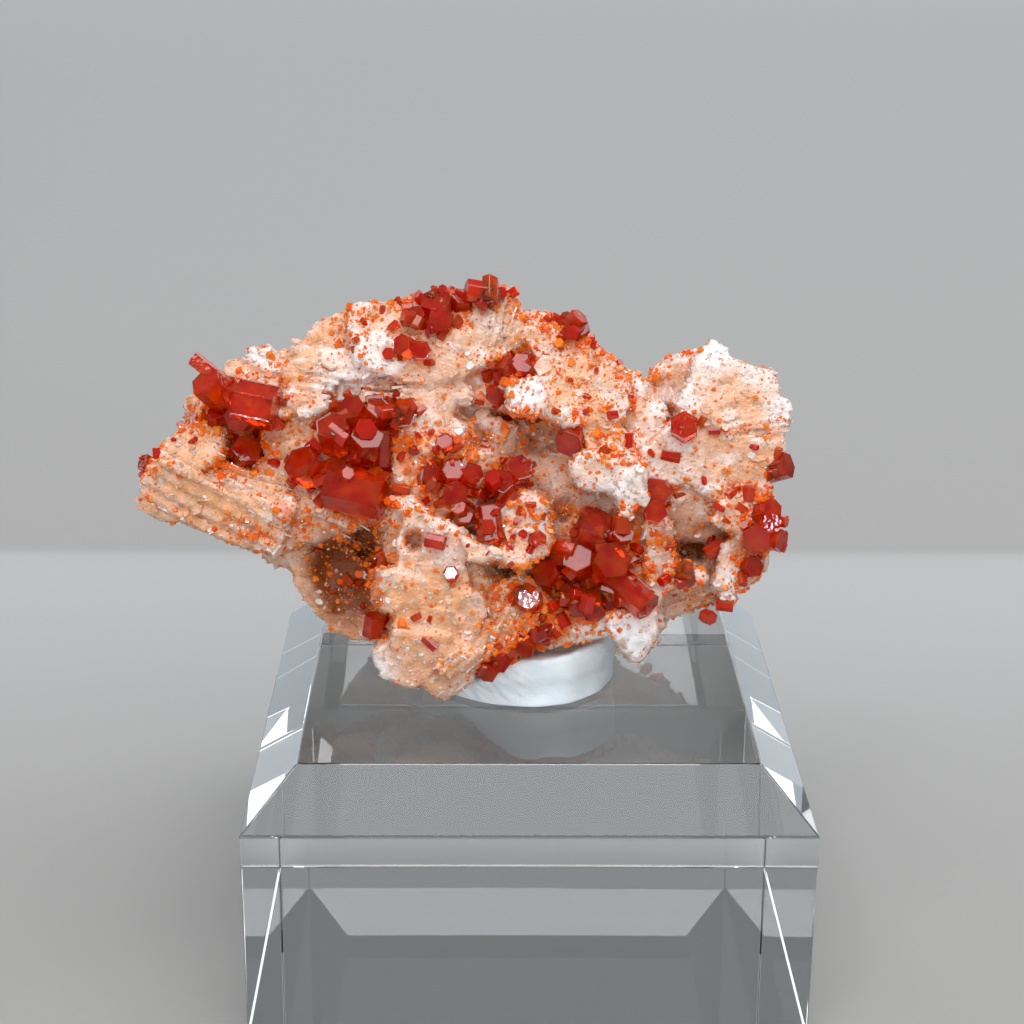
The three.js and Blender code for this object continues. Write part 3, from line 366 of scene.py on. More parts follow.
# White blots: chalky patches, and painted light on spots that lie in shade.
WHITE_AND_PAINTED_LIGHT = [
    (21.3, 11.3, 2.2, 1.0), (13.8, -14.6, 2.6, 1.0), (3.6, 7.6, 2.2, 0.9), (12, -0.6, 2.8, 0.7),
    (22.6, -10.2, 1.8, 0.8), (-13, 8.4, 2.6, 0.5), (-5, -7.5, 3, 0.4), (-9.5, -17.5, 2, 0.7),
    (17.5, 6.5, 2.2, 0.6), (27.5, 6, 1.6, 0.8), (18, 0, 3, 0.5), (4, -4.5, 2.2, 0.4),
    (-20.6, 11.4, 1.6, 0.6), (9.5, -14.2, 2.2, 0.6), (-10, 11.5, 2.5, 0.4), (17.6, -10.6, 2.6, 0.6),
    (-10.5, 9.8, 2.6, 0.4),
]
MILKY = [
    (13.6, -15, 2.6, 1.2), (21.3, 12, 1.6, 1.1), (22.8, -10.4, 1.5, 1.1), (28, 6.2, 1.4, 0.8),
    (12.4, -1.8, 1.8, 0.7), (-9.8, -17.8, 1.8, 0.7), (3.6, 7.4, 1.5, 0.8), (9.6, -14.6, 1.6, 0.7),
    (17.2, 6.4, 1.6, 0.5), (25.6, 9, 1.6, 0.6), (-3.4, -6.6, 1.4, 0.4),
]
DRUSE = [
    (-12.3, 2, 4.2, 1), (-11.5, -1.5, 3, 0.8), (9.5, -8, 4, 1), (8.5, -11.5, 2.6, 0.7),
    (-2.4, -0.6, 3.2, 0.8), (2.2, -1.2, 2.4, 0.8), (-3.6, 15.4, 2.8, 1), (0.8, 16.8, 1.8, 0.8),
    (-22.8, 6.3, 2.6, 0.9), (-22.3, 2.6, 1.8, 0.9), (25.9, -3.8, 2.2, 0.8), (2, -16, 2, 0.9),
    (5, -14, 2, 0.9), (3, 10.1, 2, 0.7), (8.4, 13.6, 1.8, 0.7), (-8.5, 4.5, 2.4, 0.6),
]


# %% Blots
def blots(points, marks):
    """The sum of soft blots at specimen points, on the front of the rock only."""
    total = np.zeros(len(points))
    for x, z, radius, strength in marks:
        far = np.hypot(points[:, 0] - x, points[:, 2] - z) / radius
        total += strength * np.exp(-far * far)
    return total * (1 - smoothstep(4, 9, points[:, 1]))


# %% Paint the colours
spots = to_specimen(surface)
patchy = 0.5 + 0.5 * lumps(spots, 2.4, 41.0)
back = smoothstep(5, 10, spots[:, 1])
# Rust: iron stain, and painted shade that deepens in hollows.
rust_and_painted_shade = blots(spots, RUST_AND_PAINTED_SHADE) * (0.35 + 0.9 * hollow + 0.5 * patchy) + 0.25 * hollow * patchy
rust_and_painted_shade += back * 0.3 * smoothstep(0.45, 0.8, patchy)
# Peach: flushes of colour, and painted shade in hollows.
peach_and_painted_shade = blots(spots, PEACH_AND_PAINTED_SHADE) * (0.6 + 0.6 * patchy) + 0.25 * patchy + 0.2 * hollow
streaky = lumps(spots * (0.7, 1, 1), 1.5, 83.0)
# White: chalk on crests and streaks, and painted light on blots in shade.
white_and_painted_light = blots(spots, WHITE_AND_PAINTED_LIGHT) + 0.55 * crest + 0.5 * smoothstep(0.05, 0.45, streaky)
peach_and_painted_shade += 0.45 * smoothstep(0.05, 0.45, -streaky)
# Painted shade: toward the bottom the rock turns tanner and less white, as if lit from above; the
# left wing also turns tanner and less white.
low = smoothstep(-3, -11, spots[:, 2])
wing = smoothstep(-20, -25, spots[:, 0]) * (1 - back)
peach_and_painted_shade += 0.25 * low + 0.15 * wing
white_and_painted_light *= 1 - 0.45 * low - 0.5 * wing
milky = blots(spots, MILKY) - 0.2 * patchy
for name, values in (("rust_and_painted_shade", rust_and_painted_shade), ("peach_and_painted_shade", peach_and_painted_shade), ("white_and_painted_light", white_and_painted_light), ("milky", milky)):
    values = np.clip(values, 0, 1)
    attribute(rock, name, values)
    print(name, "covers", values.mean().round(3), "of the rock")

# %% [markdown]
# ## Landing things on the rock
#
# Blades, small crystals and grains all sit on the rock, so they need to find it. A
# bounding volume tree answers two questions quickly: what does a line from the viewer
# hit, and which way does the surface face there?

# %% Surface finders
ROCK_TREE = BVHTree.FromPolygons(surface.tolist(), triangles(rock).tolist())
VIEW_DIRECTION = Vector(TURN @ np.array([0, 1, 0]))
FAR_IN_FRONT = -40


def landing(x, z):
    """Where a line from in front meets the rock, and the normal there, or None."""
    start = Vector(to_scene([[x, FAR_IN_FRONT, z]])[0])
    place, normal, _, _ = ROCK_TREE.ray_cast(start, VIEW_DIRECTION)
    return None if place is None else (np.array(place), np.array(normal))


def scatter_on(corners, count, weight, random):
    """Random points on triangles, given by their corners: places, normals, and
    specimen points. weight takes specimen points and normals and says how crowded
    each spot is."""
    edge_a = corners[:, 1] - corners[:, 0]
    edge_b = corners[:, 2] - corners[:, 0]
    crossed = np.cross(edge_a, edge_b)
    area = np.linalg.norm(crossed, axis=1)
    facing = crossed / np.maximum(area, 1e-18)[:, None]
    chance = area * weight(to_specimen(corners.mean(1)), facing @ TURN)
    chosen = random.choice(len(area), count, p=chance / chance.sum())
    a, b = random.random((2, count))
    over = a + b > 1
    a[over], b[over] = 1 - a[over], 1 - b[over]
    points = corners[chosen, 0] + a[:, None] * edge_a[chosen] + b[:, None] * edge_b[chosen]
    return points, facing[chosen], to_specimen(points)


def scatter(count, weight, random):
    return scatter_on(surface[triangles(rock)], count, weight, random)


# %% [markdown]
# ## Many copies in one mesh
#
# A thousand grains as a thousand objects would be slow, so a prototype is modelled once
# and its vertices are written again for each copy, into one joined mesh. Each copy has
# its own axes and sizes, and a random shade kept as an attribute.

# %% Prototypes
def prism_prototype(name, sides, rim):
    """A prism of radius 1 and height 1, its rims bevelled: a crystal to be copied."""
    bpy.ops.object.select_all(action="DESELECT")
    bpy.ops.mesh.primitive_cylinder_add(vertices=sides, radius=1, depth=1)
    piece = bpy.context.object
    piece.name = name
    if rim:
        in_edit_mode(piece, bpy.ops.mesh.bevel, offset=rim, segments=1)
    return piece


def taken(piece):
    """A prototype's vertices and triangles; the prototype itself is removed."""
    shape = places(piece), triangles(piece)
    bpy.data.objects.remove(piece)
    return shape


CRYSTAL = taken(prism_prototype("crystal_shape", 6, 0.06))
SEEDLING = taken(prism_prototype("seedling_shape", 6, 0))
GRAIN = taken(prism_prototype("grain_shape", 5, 0))
PLATE = taken(prism_prototype("plate_shape", 6, 0))
SLAB = taken(prism_prototype("slab_shape", 5, 0.07))
print("triangles: crystal", len(CRYSTAL[1]), "grain", len(GRAIN[1]), "plate", len(PLATE[1]))


# %% Copies
def axes_along(directions, random):
    """For each direction, two more that stand square to it, at a random turn."""
    third = directions / np.linalg.norm(directions, axis=1)[:, None]
    other = np.where(np.abs(third[:, 2:3]) < 0.9, [[0, 0, 1.0]], [[1.0, 0, 0]])
    first = np.cross(other, third)
    first /= np.linalg.norm(first, axis=1)[:, None]
    second = np.cross(third, first)
    angle = random.random(len(third))[:, None] * 2 * np.pi
    turned = first * np.cos(angle) + second * np.sin(angle)
    return turned, np.cross(third, turned), third


def joined_copies(name, shape, centres, axes, sizes, shades):
    """One mesh with a copy of the shape at each centre. Sizes are per axis, in metres."""
    points, faces = shape
    placed = centres[:, None, :]
    for k in range(3):
        placed = placed + points[None, :, k, None] * sizes[:, None, k, None] * axes[k][:, None, :]
    count, corners = len(centres), len(points)
    offsets = np.arange(count)[:, None, None] * corners
    mesh = bpy.data.meshes.new(name)
    mesh.from_pydata(
        placed.reshape(-1, 3).tolist(), [], (faces[None] + offsets).reshape(-1, 3).tolist()
    )
    piece = bpy.data.objects.new(name, mesh)
    bpy.context.scene.collection.objects.link(piece)
    attribute(piece, "shade", np.repeat(shades, corners))
    print(name, count, "copies,", count * len(faces), "triangles")
    return piece


# %% [markdown]
# ## Barite blades
#
# Barite grows as plates. Broad slabs overlap like tiles on the open faces, and later
# take on the colours of the rock that they lie on. In the bundles, thin plates stand edge
# on out of the rock. Everywhere else small plates stick out at odd angles and give the
# rock its sparkling, sugary edge.

# %% Slabs that overlap like tiles
def slab_weight(points, facing):
    grown_over = np.clip(blots(points, DRUSE), 0, 1)
    return smoothstep(0.5, -0.2, facing[:, 1]) * (1.1 - grown_over)


random = np.random.default_rng(10)
SLAB_COUNT = 380
centres, facing, _ = scatter(SLAB_COUNT, slab_weight, random)
tilt = facing + random.normal(0, 0.16, facing.shape)
long_side = random.gamma(4, 0.15, SLAB_COUNT).clip(0.3, 1.2)
short_side = long_side * random.uniform(0.4, 0.8, SLAB_COUNT)
sizes = np.column_stack([long_side, short_side, random.uniform(0.15, 0.4, SLAB_COUNT)])
axes = axes_along(tilt, random)
slabs = joined_copies("barite_slabs", SLAB, centres, axes, sizes * MM, random.random(SLAB_COUNT))


# %% Blades in bundles
BLADES_PER_SPOT = 26 / 8


def bundle_blades(random):
    """Thin plates standing edge on in every bundle: their middles, axes and sizes."""
    centres, edges, fronts, thins, sizes = [], [], [], [], []
    for bundle in BUNDLES.values():
        reach_along, reach_across = bundle["reach"]
        count = int(BLADES_PER_SPOT * reach_along * reach_across)
        for _ in range(count):
            along, across = random.uniform(-0.9, 0.9, 2) * (reach_along, reach_across)
            slope = radians(bundle["slope"] + random.normal(0, 4))
            x = bundle["middle"][0] + along * cos(slope) - across * sin(slope)
            z = bundle["middle"][1] + along * sin(slope) + across * cos(slope)
            found = landing(x, z)
            if found is None or found[1] @ np.array(VIEW_DIRECTION) > -0.35:
                continue
            length = random.uniform(0.4, 1.2)
            depth = random.uniform(0.5, 0.9)
            centres.append(found[0] + TURN @ np.array([0, depth * 0.88, 0]) * MM)
            edges.append((cos(slope), random.normal(0, 0.12), sin(slope)))
            fronts.append((0, 1, 0))
            thins.append((-sin(slope), random.normal(0, 0.15), cos(slope)))
            sizes.append((length, depth, random.uniform(0.1, 0.22)))
    third = np.array(thins) / np.linalg.norm(thins, axis=1)[:, None]
    second = np.cross(third, np.array(edges))
    second /= np.linalg.norm(second, axis=1)[:, None]
    first = np.cross(second, third)
    axes = [part @ TURN.T for part in (first, second, third)]
    return np.array(centres), axes, np.array(sizes) * MM


random = np.random.default_rng(11)
centres, axes, sizes = bundle_blades(random)
shades = random.random(len(centres))
blades = joined_copies("barite_blades", PLATE, centres, axes, sizes, shades)


# %% Sugar of small plates
def sugar_weight(points, facing):
    front = smoothstep(0.35, -0.2, facing[:, 1])
    clear = 1 - 0.8 * np.clip(blots(points, RUST_AND_PAINTED_SHADE), 0, 1)
    return (0.25 + front) * clear


random = np.random.default_rng(12)
SUGAR_COUNT = 7000
centres, facing, _ = scatter(SUGAR_COUNT, sugar_weight, random)
tilt = facing + random.normal(0, 0.35, facing.shape)
radius = random.gamma(4, 0.036, SUGAR_COUNT).clip(0.06, 0.42)
sizes = np.column_stack([radius * 1.3, radius * 0.9, radius * 0.4]) * MM
shades = random.random(SUGAR_COUNT)
sugar = joined_copies("barite_sugar", PLATE, centres, axes_along(tilt, random), sizes, shades)

# %% [markdown]
# ## Small vanadinite crystals
#
# The crystals too small to be solids of their own come in two ways. Those that give the
# specimen its face are listed one by one: x, z, radius and length in millimetres, and the
# way the prism points. The rest are scattered, crowding round the big groups and along
# the crests.

# %% Crystals listed one by one
SMALL_CRYSTALS = [
    # the left wing and its rim
    (-19.5, 5.2, 0.75, 1.7, 0.5, -0.7, -0.3), (-19.2, 6.7, 0.5, 1.3, 0.6, -0.6, 0.3),
    (-24.2, 6.6, 0.7, 1.6, -0.4, -0.7, 0.1), (-26.1, 7, 0.6, 1.4, -0.6, -0.6, 0.1),
    (-23.4, 8.2, 0.6, 1.3, 0.3, -0.7, 0.6), (-27.3, 5, 0.7, 1.3, -0.4, -0.6, 0.7),
    (-26.4, 5.4, 0.6, 1.1, 0.1, -0.6, 0.8), (-24.2, 5, 0.5, 1, 0.2, -0.8, 0.3),
    (-28.2, 4.4, 0.45, 1, -0.5, -0.5, 0.6), (-27.2, 3.1, 0.35, 0.9, 0, -0.9, 0.2),
    (-31.5, 0.2, 0.4, 0.9, -0.7, -0.5, 0), (-30.4, 1.8, 0.45, 1, -0.5, -0.4, 0.7),
    (-20.9, 2.6, 0.9, 1.6, 0.5, -0.7, 0.4), (-24, 1.5, 0.8, 1.5, -0.5, -0.8, 0.1),
    (-23.2, 3.3, 0.7, 1.4, -0.2, -0.7, 0.6), (-21.7, 3.8, 0.5, 1.1, 0.3, -0.7, 0.5),
    (-19.8, 1.2, 0.5, 1, 0.4, -0.8, 0), (-28.9, 3.2, 0.3, 0.8, -0.3, -0.8, 0.3),
    # round the large group at the left
    (-18.3, 1.4, 0.55, 1.6, -0.1, -0.6, 0.8), (-17.6, -0.4, 0.7, 1.3, -0.5, -0.8, 0),
    (-15, -2.1, 0.7, 1.4, -0.2, -0.85, -0.3), (-15.6, 2.4, 0.8, 1.6, -0.5, -0.7, 0.4),
    (-12.5, 7, 0.6, 1.3, -0.3, -0.7, 0.6), (-13.7, 6.4, 0.75, 1.5, -0.3, -0.8, 0.5),
    (-10.5, 7, 0.75, 1.7, 0.85, -0.4, 0.2), (-8.9, 6.2, 0.85, 1.6, 0.1, -0.9, 0.3),
    (-8.2, 7.1, 0.55, 1.1, 0.3, -0.8, 0.4), (-6, 5.9, 0.55, 1.7, 0.97, -0.1, -0.1),
    (-9.2, 0.4, 0.8, 1.6, 0.3, -0.85, 0.2), (-8, -1.3, 0.85, 1.7, 0.6, -0.7, -0.1),
    (-8.3, 3.9, 0.6, 1.3, 0.3, -0.8, 0.3), (-7.8, 1.6, 0.45, 1, 0.5, -0.8, 0.1),
    (-15.5, 4.5, 0.45, 1, -0.4, -0.8, 0.4), (-16.2, -1.3, 0.45, 1, -0.3, -0.9, -0.2),
    (-10.2, -3, 0.5, 1.1, 0.2, -0.8, -0.5), (-13.4, -3.1, 0.45, 1, -0.2, -0.8, -0.5),
    (-14.8, 7.6, 0.35, 0.8, -0.2, -0.8, 0.5), (-11.4, 8.1, 0.35, 0.9, 0.1, -0.8, 0.6),
    # the crown
    (-6.4, 14.4, 0.7, 1.4, -0.5, -0.7, 0.3), (-5.8, 16.2, 0.75, 1.4, -0.4, -0.5, 0.8),
    (-4.7, 16.8, 0.6, 1.2, 0, -0.5, 0.85), (-3.3, 16.9, 0.55, 1.2, 0.1, -0.6, 0.8),
    (-2.6, 14.1, 0.8, 1.6, 0.6, -0.7, -0.1), (-1, 16.5, 0.75, 1.4, -0.1, -0.6, 0.8),
    (-3.8, 13.2, 0.6, 1.2, 0, -0.85, -0.5), (-7.1, 15.6, 0.55, 1.1, -0.5, -0.7, 0.4),
    (1.5, 16.7, 0.75, 1.4, 0.2, -0.7, 0.6), (2.3, 16.9, 0.65, 1.2, 0.5, -0.7, 0.5),
    (-5.3, 13.3, 0.45, 1, -0.3, -0.8, -0.4), (-8, 16, 0.4, 0.9, -0.3, -0.6, 0.7),
    (-11.1, 14, 0.3, 0.9, 0.1, -0.6, 0.8), (-12, 12.4, 0.4, 0.8, -0.1, -0.9, 0.2),
    (-12.2, 11.6, 0.3, 0.7, 0.2, -0.9, 0), (-5.3, 10.3, 0.45, 1, 0.3, -0.8, 0.3),
    (-7.9, 11, 0.35, 0.8, -0.3, -0.9, 0), (-9.6, 15.2, 0.35, 0.8, 0.2, -0.7, 0.6),
    # the middle, between crown and plateau
    (0.2, 9, 0.7, 1.4, -0.3, -0.85, 0.4), (1.2, 8.9, 0.7, 1.4, 0.1, -0.8, 0.5),
    (4, 9.3, 0.45, 1.9, 0.95, -0.15, 0.2), (0.4, 10.2, 0.5, 1.1, -0.4, -0.8, 0.3),
    (2.5, 11.3, 0.5, 1.1, 0.1, -0.8, 0.5), (5.2, 10.7, 0.5, 1, 0.4, -0.8, 0.3),
    (2, 5.3, 0.5, 1.1, -0.2, -0.9, 0.2), (3, 5.4, 0.45, 1.2, 0.1, -0.8, 0.5),
    (4, 5.2, 0.5, 1, 0.3, -0.9, 0), (4.9, 5.3, 0.4, 0.9, 0.2, -0.8, 0.4),
    (1, 6.4, 0.5, 1.1, 0.2, -0.85, 0.2), (-0.4, 6.8, 0.4, 0.9, -0.3, -0.8, 0.3),
    # the plateau and its crest
    (6.8, 14.7, 0.5, 1.1, -0.1, -0.6, 0.8), (9.4, 12.9, 0.6, 1.2, 0.6, -0.6, 0.4),
    (7.3, 13.2, 0.55, 1.2, -0.2, -0.85, 0.4), (5.9, 14.6, 0.35, 0.8, 0, -0.6, 0.8),
    (10.3, 9.7, 0.4, 0.8, 0.1, -0.9, 0.1), (12.3, 10.3, 0.45, 0.9, 0.5, -0.7, 0.4),
    (9.5, 7.2, 0.4, 0.8, -0.2, -0.9, 0.2), (7.7, 8.8, 0.35, 0.7, 0.3, -0.9, 0),
    (11.8, 5.6, 0.5, 1, 0.2, -0.9, 0.1), (6.6, 5.8, 0.4, 0.8, 0, -0.95, 0),
    (7, 11.7, 0.35, 0.7, -0.3, -0.9, 0.2), (10, 12, 0.4, 0.8, 0.4, -0.8, 0.3),
    (13.3, 7.3, 0.3, 0.7, 0.5, -0.8, 0.1), (11.1, 2.1, 0.7, 1.2, 0.1, -0.9, 0.2),
    (13.2, 3, 0.5, 1.3, 0.2, -0.5, 0.8), (9.3, 5.9, 0.35, 0.7, 0.2, -0.9, 0),
    # the right plate and its edge
    (15.4, 2, 0.4, 0.8, -0.2, -0.9, 0.2), (19.9, 4.9, 0.45, 0.9, 0.4, -0.85, 0.2),
    (24.7, 2.7, 0.4, 0.8, 0.2, -0.9, 0.1), (26.3, 0.1, 0.6, 1.3, 0.1, -0.9, -0.2),
    (27, 1.9, 0.5, 1.1, 0.5, -0.6, 0.6), (17.9, -1.8, 0.5, 1.2, 0.1, -0.7, 0.6),
    (20.2, -0.6, 0.4, 0.8, 0, -0.9, 0.2), (17, 5.2, 0.35, 0.7, -0.3, -0.9, 0),
    (22.7, -1.7, 0.75, 1.5, 0.3, -0.7, 0.6), (24.3, -1.9, 0.75, 1.4, 0.2, -0.7, 0.6),
    (27.1, -4.1, 0.7, 1.4, 0.8, -0.5, 0.1), (23.8, -3.1, 0.5, 1.1, -0.1, -0.9, 0.2),
    (21.7, -3, 0.5, 1, -0.4, -0.8, 0.3), (24, -4.8, 0.55, 1.1, -0.2, -0.9, 0),
    (26.9, -6.6, 0.6, 1.2, 0.6, -0.7, -0.3), (25.3, -7.6, 0.5, 1, 0.4, -0.8, 0),
    (23.9, -9.3, 0.65, 1.3, 0.3, -0.85, -0.4), (22.3, -4.2, 0.4, 0.9, -0.3, -0.9, 0.1),
    (21.3, -6, 0.5, 1.2, -0.5, -0.75, 0.3), (16.7, -9.5, 0.6, 1.1, -0.4, -0.85, -0.2),
    (16.9, -6.7, 0.35, 0.8, 0.4, -0.8, 0.2), (16.6, -2.6, 0.5, 1, 0.4, -0.8, 0.2),
    # round the large group at the right
    (8.4, -5.7, 0.6, 1.4, 0, -0.95, 0.1), (9.2, -9.1, 0.4, 1.8, 0.05, -0.3, 0.95),
    (13.2, -4.6, 0.6, 1.2, 0.3, -0.8, 0.4), (13.9, -6.6, 0.7, 1.4, 0.5, -0.8, 0.1),
    (13.5, -8.1, 0.75, 1.5, 0.5, -0.8, 0.1), (5.4, -10.6, 0.9, 1.7, -0.4, -0.8, -0.3),
    (7.2, -10.6, 0.75, 1.5, 0.1, -0.9, -0.2), (7.2, -11.9, 0.6, 1.3, -0.2, -0.75, -0.5),
    (6, -12.2, 0.7, 1.4, -0.1, -0.9, -0.1), (7.1, -13.2, 0.7, 1.4, 0.2, -0.8, -0.5),
    (11.7, -11.9, 0.9, 1.7, 0.2, -0.75, -0.6), (12.1, -4.3, 0.6, 1.3, 0.2, -0.7, 0.6),
    (3.2, -10.5, 0.5, 1.1, -0.3, -0.9, 0), (2.5, -11.6, 0.45, 1, -0.3, -0.8, 0.3),
    (14.6, -8, 0.45, 1, 0.6, -0.7, 0.2), (6.4, -8, 0.6, 1.3, -0.5, -0.8, 0.1),
    (9.6, -3.6, 0.5, 1.1, 0, -0.7, 0.6), (5.2, -13.3, 0.45, 1, -0.2, -0.8, -0.4),
    # along the seam
    (5.3, -15.2, 0.6, 1.2, 0.3, -0.8, -0.4), (2.6, -16.2, 0.65, 1.3, 0.2, -0.8, -0.4),
    (6.4, -14.4, 0.5, 1.1, 0.5, -0.7, -0.3), (-0.2, -18.1, 0.5, 1, -0.4, -0.7, -0.5),
    (1.2, -15.7, 0.35, 0.8, 0, -0.8, -0.4), (3.2, -14.6, 0.35, 0.8, 0.1, -0.9, -0.2),
    # the middle
    (-4.3, 0.9, 0.55, 1.3, -0.1, -0.6, 0.75), (-1.1, -1.6, 0.8, 1.6, 0.4, -0.85, -0.1),
    (-4, -2.5, 0.9, 1.7, -0.3, -0.9, -0.2), (-3.2, -3.9, 0.7, 1.4, -0.2, -0.8, -0.4),
    (-5.3, -2.2, 0.45, 1, -0.4, -0.8, 0), (3.6, -0.5, 0.7, 1.4, 0.5, -0.8, 0.1),
    (0.3, -1.8, 0.7, 1.5, -0.1, -0.9, 0.1), (-2, 0.8, 0.6, 1.3, 0.1, -0.7, 0.6),
    (0.2, 2.7, 0.4, 0.9, 0.1, -0.9, 0.2), (-2.8, 2.4, 0.6, 1.2, 0.4, -0.85, 0.2),
    (-4.5, 2.3, 0.5, 1.1, -0.4, -0.8, 0.2), (-5.9, -0.6, 0.45, 1, -0.5, -0.8, 0.1),
    (1.6, 1.4, 0.5, 1.1, -0.2, -0.9, 0.2), (-6, 3.4, 0.35, 0.8, -0.3, -0.9, 0),
    (4.4, 1, 0.5, 1, 0.4, -0.8, 0.2), (-4.9, 4, 0.35, 0.8, 0, -0.9, 0.2),
    # the pale lip and the near face
    (2.8, -4.3, 0.4, 0.8, -0.2, -0.9, 0.2), (2.6, -5.6, 0.35, 0.7, -0.1, -0.95, 0),
    (4.2, -6.7, 0.45, 0.9, -0.2, -0.9, -0.3), (5.3, -3.9, 0.3, 0.7, 0.4, -0.85, 0.2),
    (4, -2.7, 0.5, 1, 0.3, -0.85, 0.4), (3.1, -3.4, 0.35, 0.9, -0.3, -0.85, 0.2),
    (2.4, -6.6, 0.4, 0.7, -0.2, -0.9, -0.3), (0.2, -7.2, 0.2, 0.5, 0, -0.9, 0.2),
    (2.3, -8.2, 0.3, 0.6, 0.2, -0.9, -0.2), (-1.6, -6.5, 0.2, 0.4, 0, -0.95, 0),
    (-6.4, -13.1, 0.4, 0.9, 0.9, -0.2, 0.1), (-5, -13.1, 0.3, 0.6, 0, -0.9, 0.2),
    (-1.7, -4.3, 0.4, 0.9, 0.2, -0.8, -0.4), (1, -6.6, 0.3, 0.7, 0, -0.8, -0.5),
    # the recess at the lower left
    (-15.6, -7, 0.45, 0.9, -0.3, -0.9, 0), (-13.2, -9.7, 0.6, 1.2, 0.2, -0.9, 0.1),
    (-11.9, -10.2, 0.55, 1.1, -0.2, -0.9, 0.1), (-9.4, -14.1, 0.55, 1.4, 0.3, -0.5, 0.8),
    (-9.4, -7.8, 0.6, 1.3, -0.3, -0.7, 0.5), (-11.5, -12.3, 0.4, 0.8, 0, -0.9, 0.2),
    (-10.3, -8.2, 0.5, 1.1, -0.5, -0.6, 0.4), (-14.3, -11, 0.35, 0.8, -0.2, -0.9, 0),
]


def flatness(count, random):
    """How wide each prism is one way, compared with the other: few are regular."""
    return random.uniform(0.62, 1.05, count)


def hand_placed(entries, random):
    """Each crystal's base sinks a third of its length into the rock where it lands."""
    rows = []
    for x, z, radius, length, *direction in entries:
        found = landing(x, z)
        if found is not None:
            along = TURN @ (np.array(direction) * (1.2, 0.35, 1.2) + random.normal(0, 0.5, 3))
            along /= np.linalg.norm(along)
            rows.append((*(found[0] + along * length * 0.18 * MM), *along, radius * 0.85, length))
    rows = np.array(rows)
    sizes = np.column_stack([rows[:, 6], rows[:, 6] * flatness(len(rows), random), rows[:, 7]])
    return rows[:, :3], axes_along(rows[:, 3:6], random), sizes * MM


random = np.random.default_rng(21)
centres, axes, sizes = hand_placed(SMALL_CRYSTALS, random)
shades = random.random(len(centres)) ** 1.4
small_crystals = joined_copies("vanadinite_small", CRYSTAL, centres, axes, sizes, shades)

# %% [markdown]
# ## Seedling crystals and grains
#
# Where vanadinite crowds, there is a halo of smaller and smaller crystals. The same soft
# blots as for the colours say where, and a base level sprinkles the rest of the front. A
# second list names faces that grains leave almost bare. Belts are the crests and cracks
# where orange grains line up: from x, z to x, z, then width and strength.

# %% Where vanadinite crowds
CROWDS = [
    (-12.5, 2.5, 4.5, 1.0), (-11, -1.5, 3.5, 0.8), (10, -8, 4.5, 1.0), (9, -12, 3.5, 0.9),
    (-2.5, -1, 3, 0.9), (2, -1, 2.5, 0.8), (25.5, -4, 2.5, 1.0), (24.3, -8.3, 1.8, 0.7),
    (-4, 15.3, 3, 0.9), (1, 17, 1.8, 0.6), (8, 13.6, 2.4, 0.7), (3, 10, 2.2, 0.7),
    (-22.5, 6, 3, 0.8), (-22, 2.5, 2.4, 0.8), (-26.5, 5, 2, 0.8), (-31, 1, 1.5, 0.5),
    (3, -15.8, 3, 0.9), (13.5, -6.5, 2, 0.9), (18, -9.2, 1.8, 0.8), (9, 4, 3, 0.35),
    (3, 5.4, 2.2, 0.5), (-9.8, -8, 1.6, 0.5), (-10, -14, 1.6, 0.4), (27, 0.6, 1.5, 0.6),
    (9.5, 9.5, 5, 0.3), (-3.5, 2.6, 2.4, 0.5), (16, -2.5, 2, 0.5), (-12.5, 12, 2.4, 0.3),
    (-7, 11.5, 2.4, 0.4), (3.5, -4.5, 2.4, 0.4), (21.5, -12.6, 1.8, 0.5), (-13, -9.5, 2.4, 0.35),
    (18.5, 4.4, 2, 0.4), (12, 2, 2.5, 0.4), (5, -11, 2.5, 0.8), (6, 14.8, 2.5, 0.4),
]

BARE = [
    (-27, -2.6, 4, 0.9), (-21, -3, 2.6, 0.6), (-13, 8.6, 3, 0.9), (-8, 12.4, 2.6, 0.6),
    (1.5, 13, 2.4, 0.8), (13.8, -14.6, 2.6, 0.9), (21.5, 8.6, 4, 0.5), (12, -1.6, 2.6, 0.6),
    (19, -12.6, 3, 0.6), (-12, -13, 3, 0.6), (-9.6, -17.6, 2.4, 0.9), (3.6, 7.2, 1.6, 0.8),
    (15.6, 1, 2.6, 0.6), (-5.5, 9, 2.6, 0.7), (18, -3.4, 2.4, 0.5), (-17.5, 8.4, 2.4, 0.5),
]

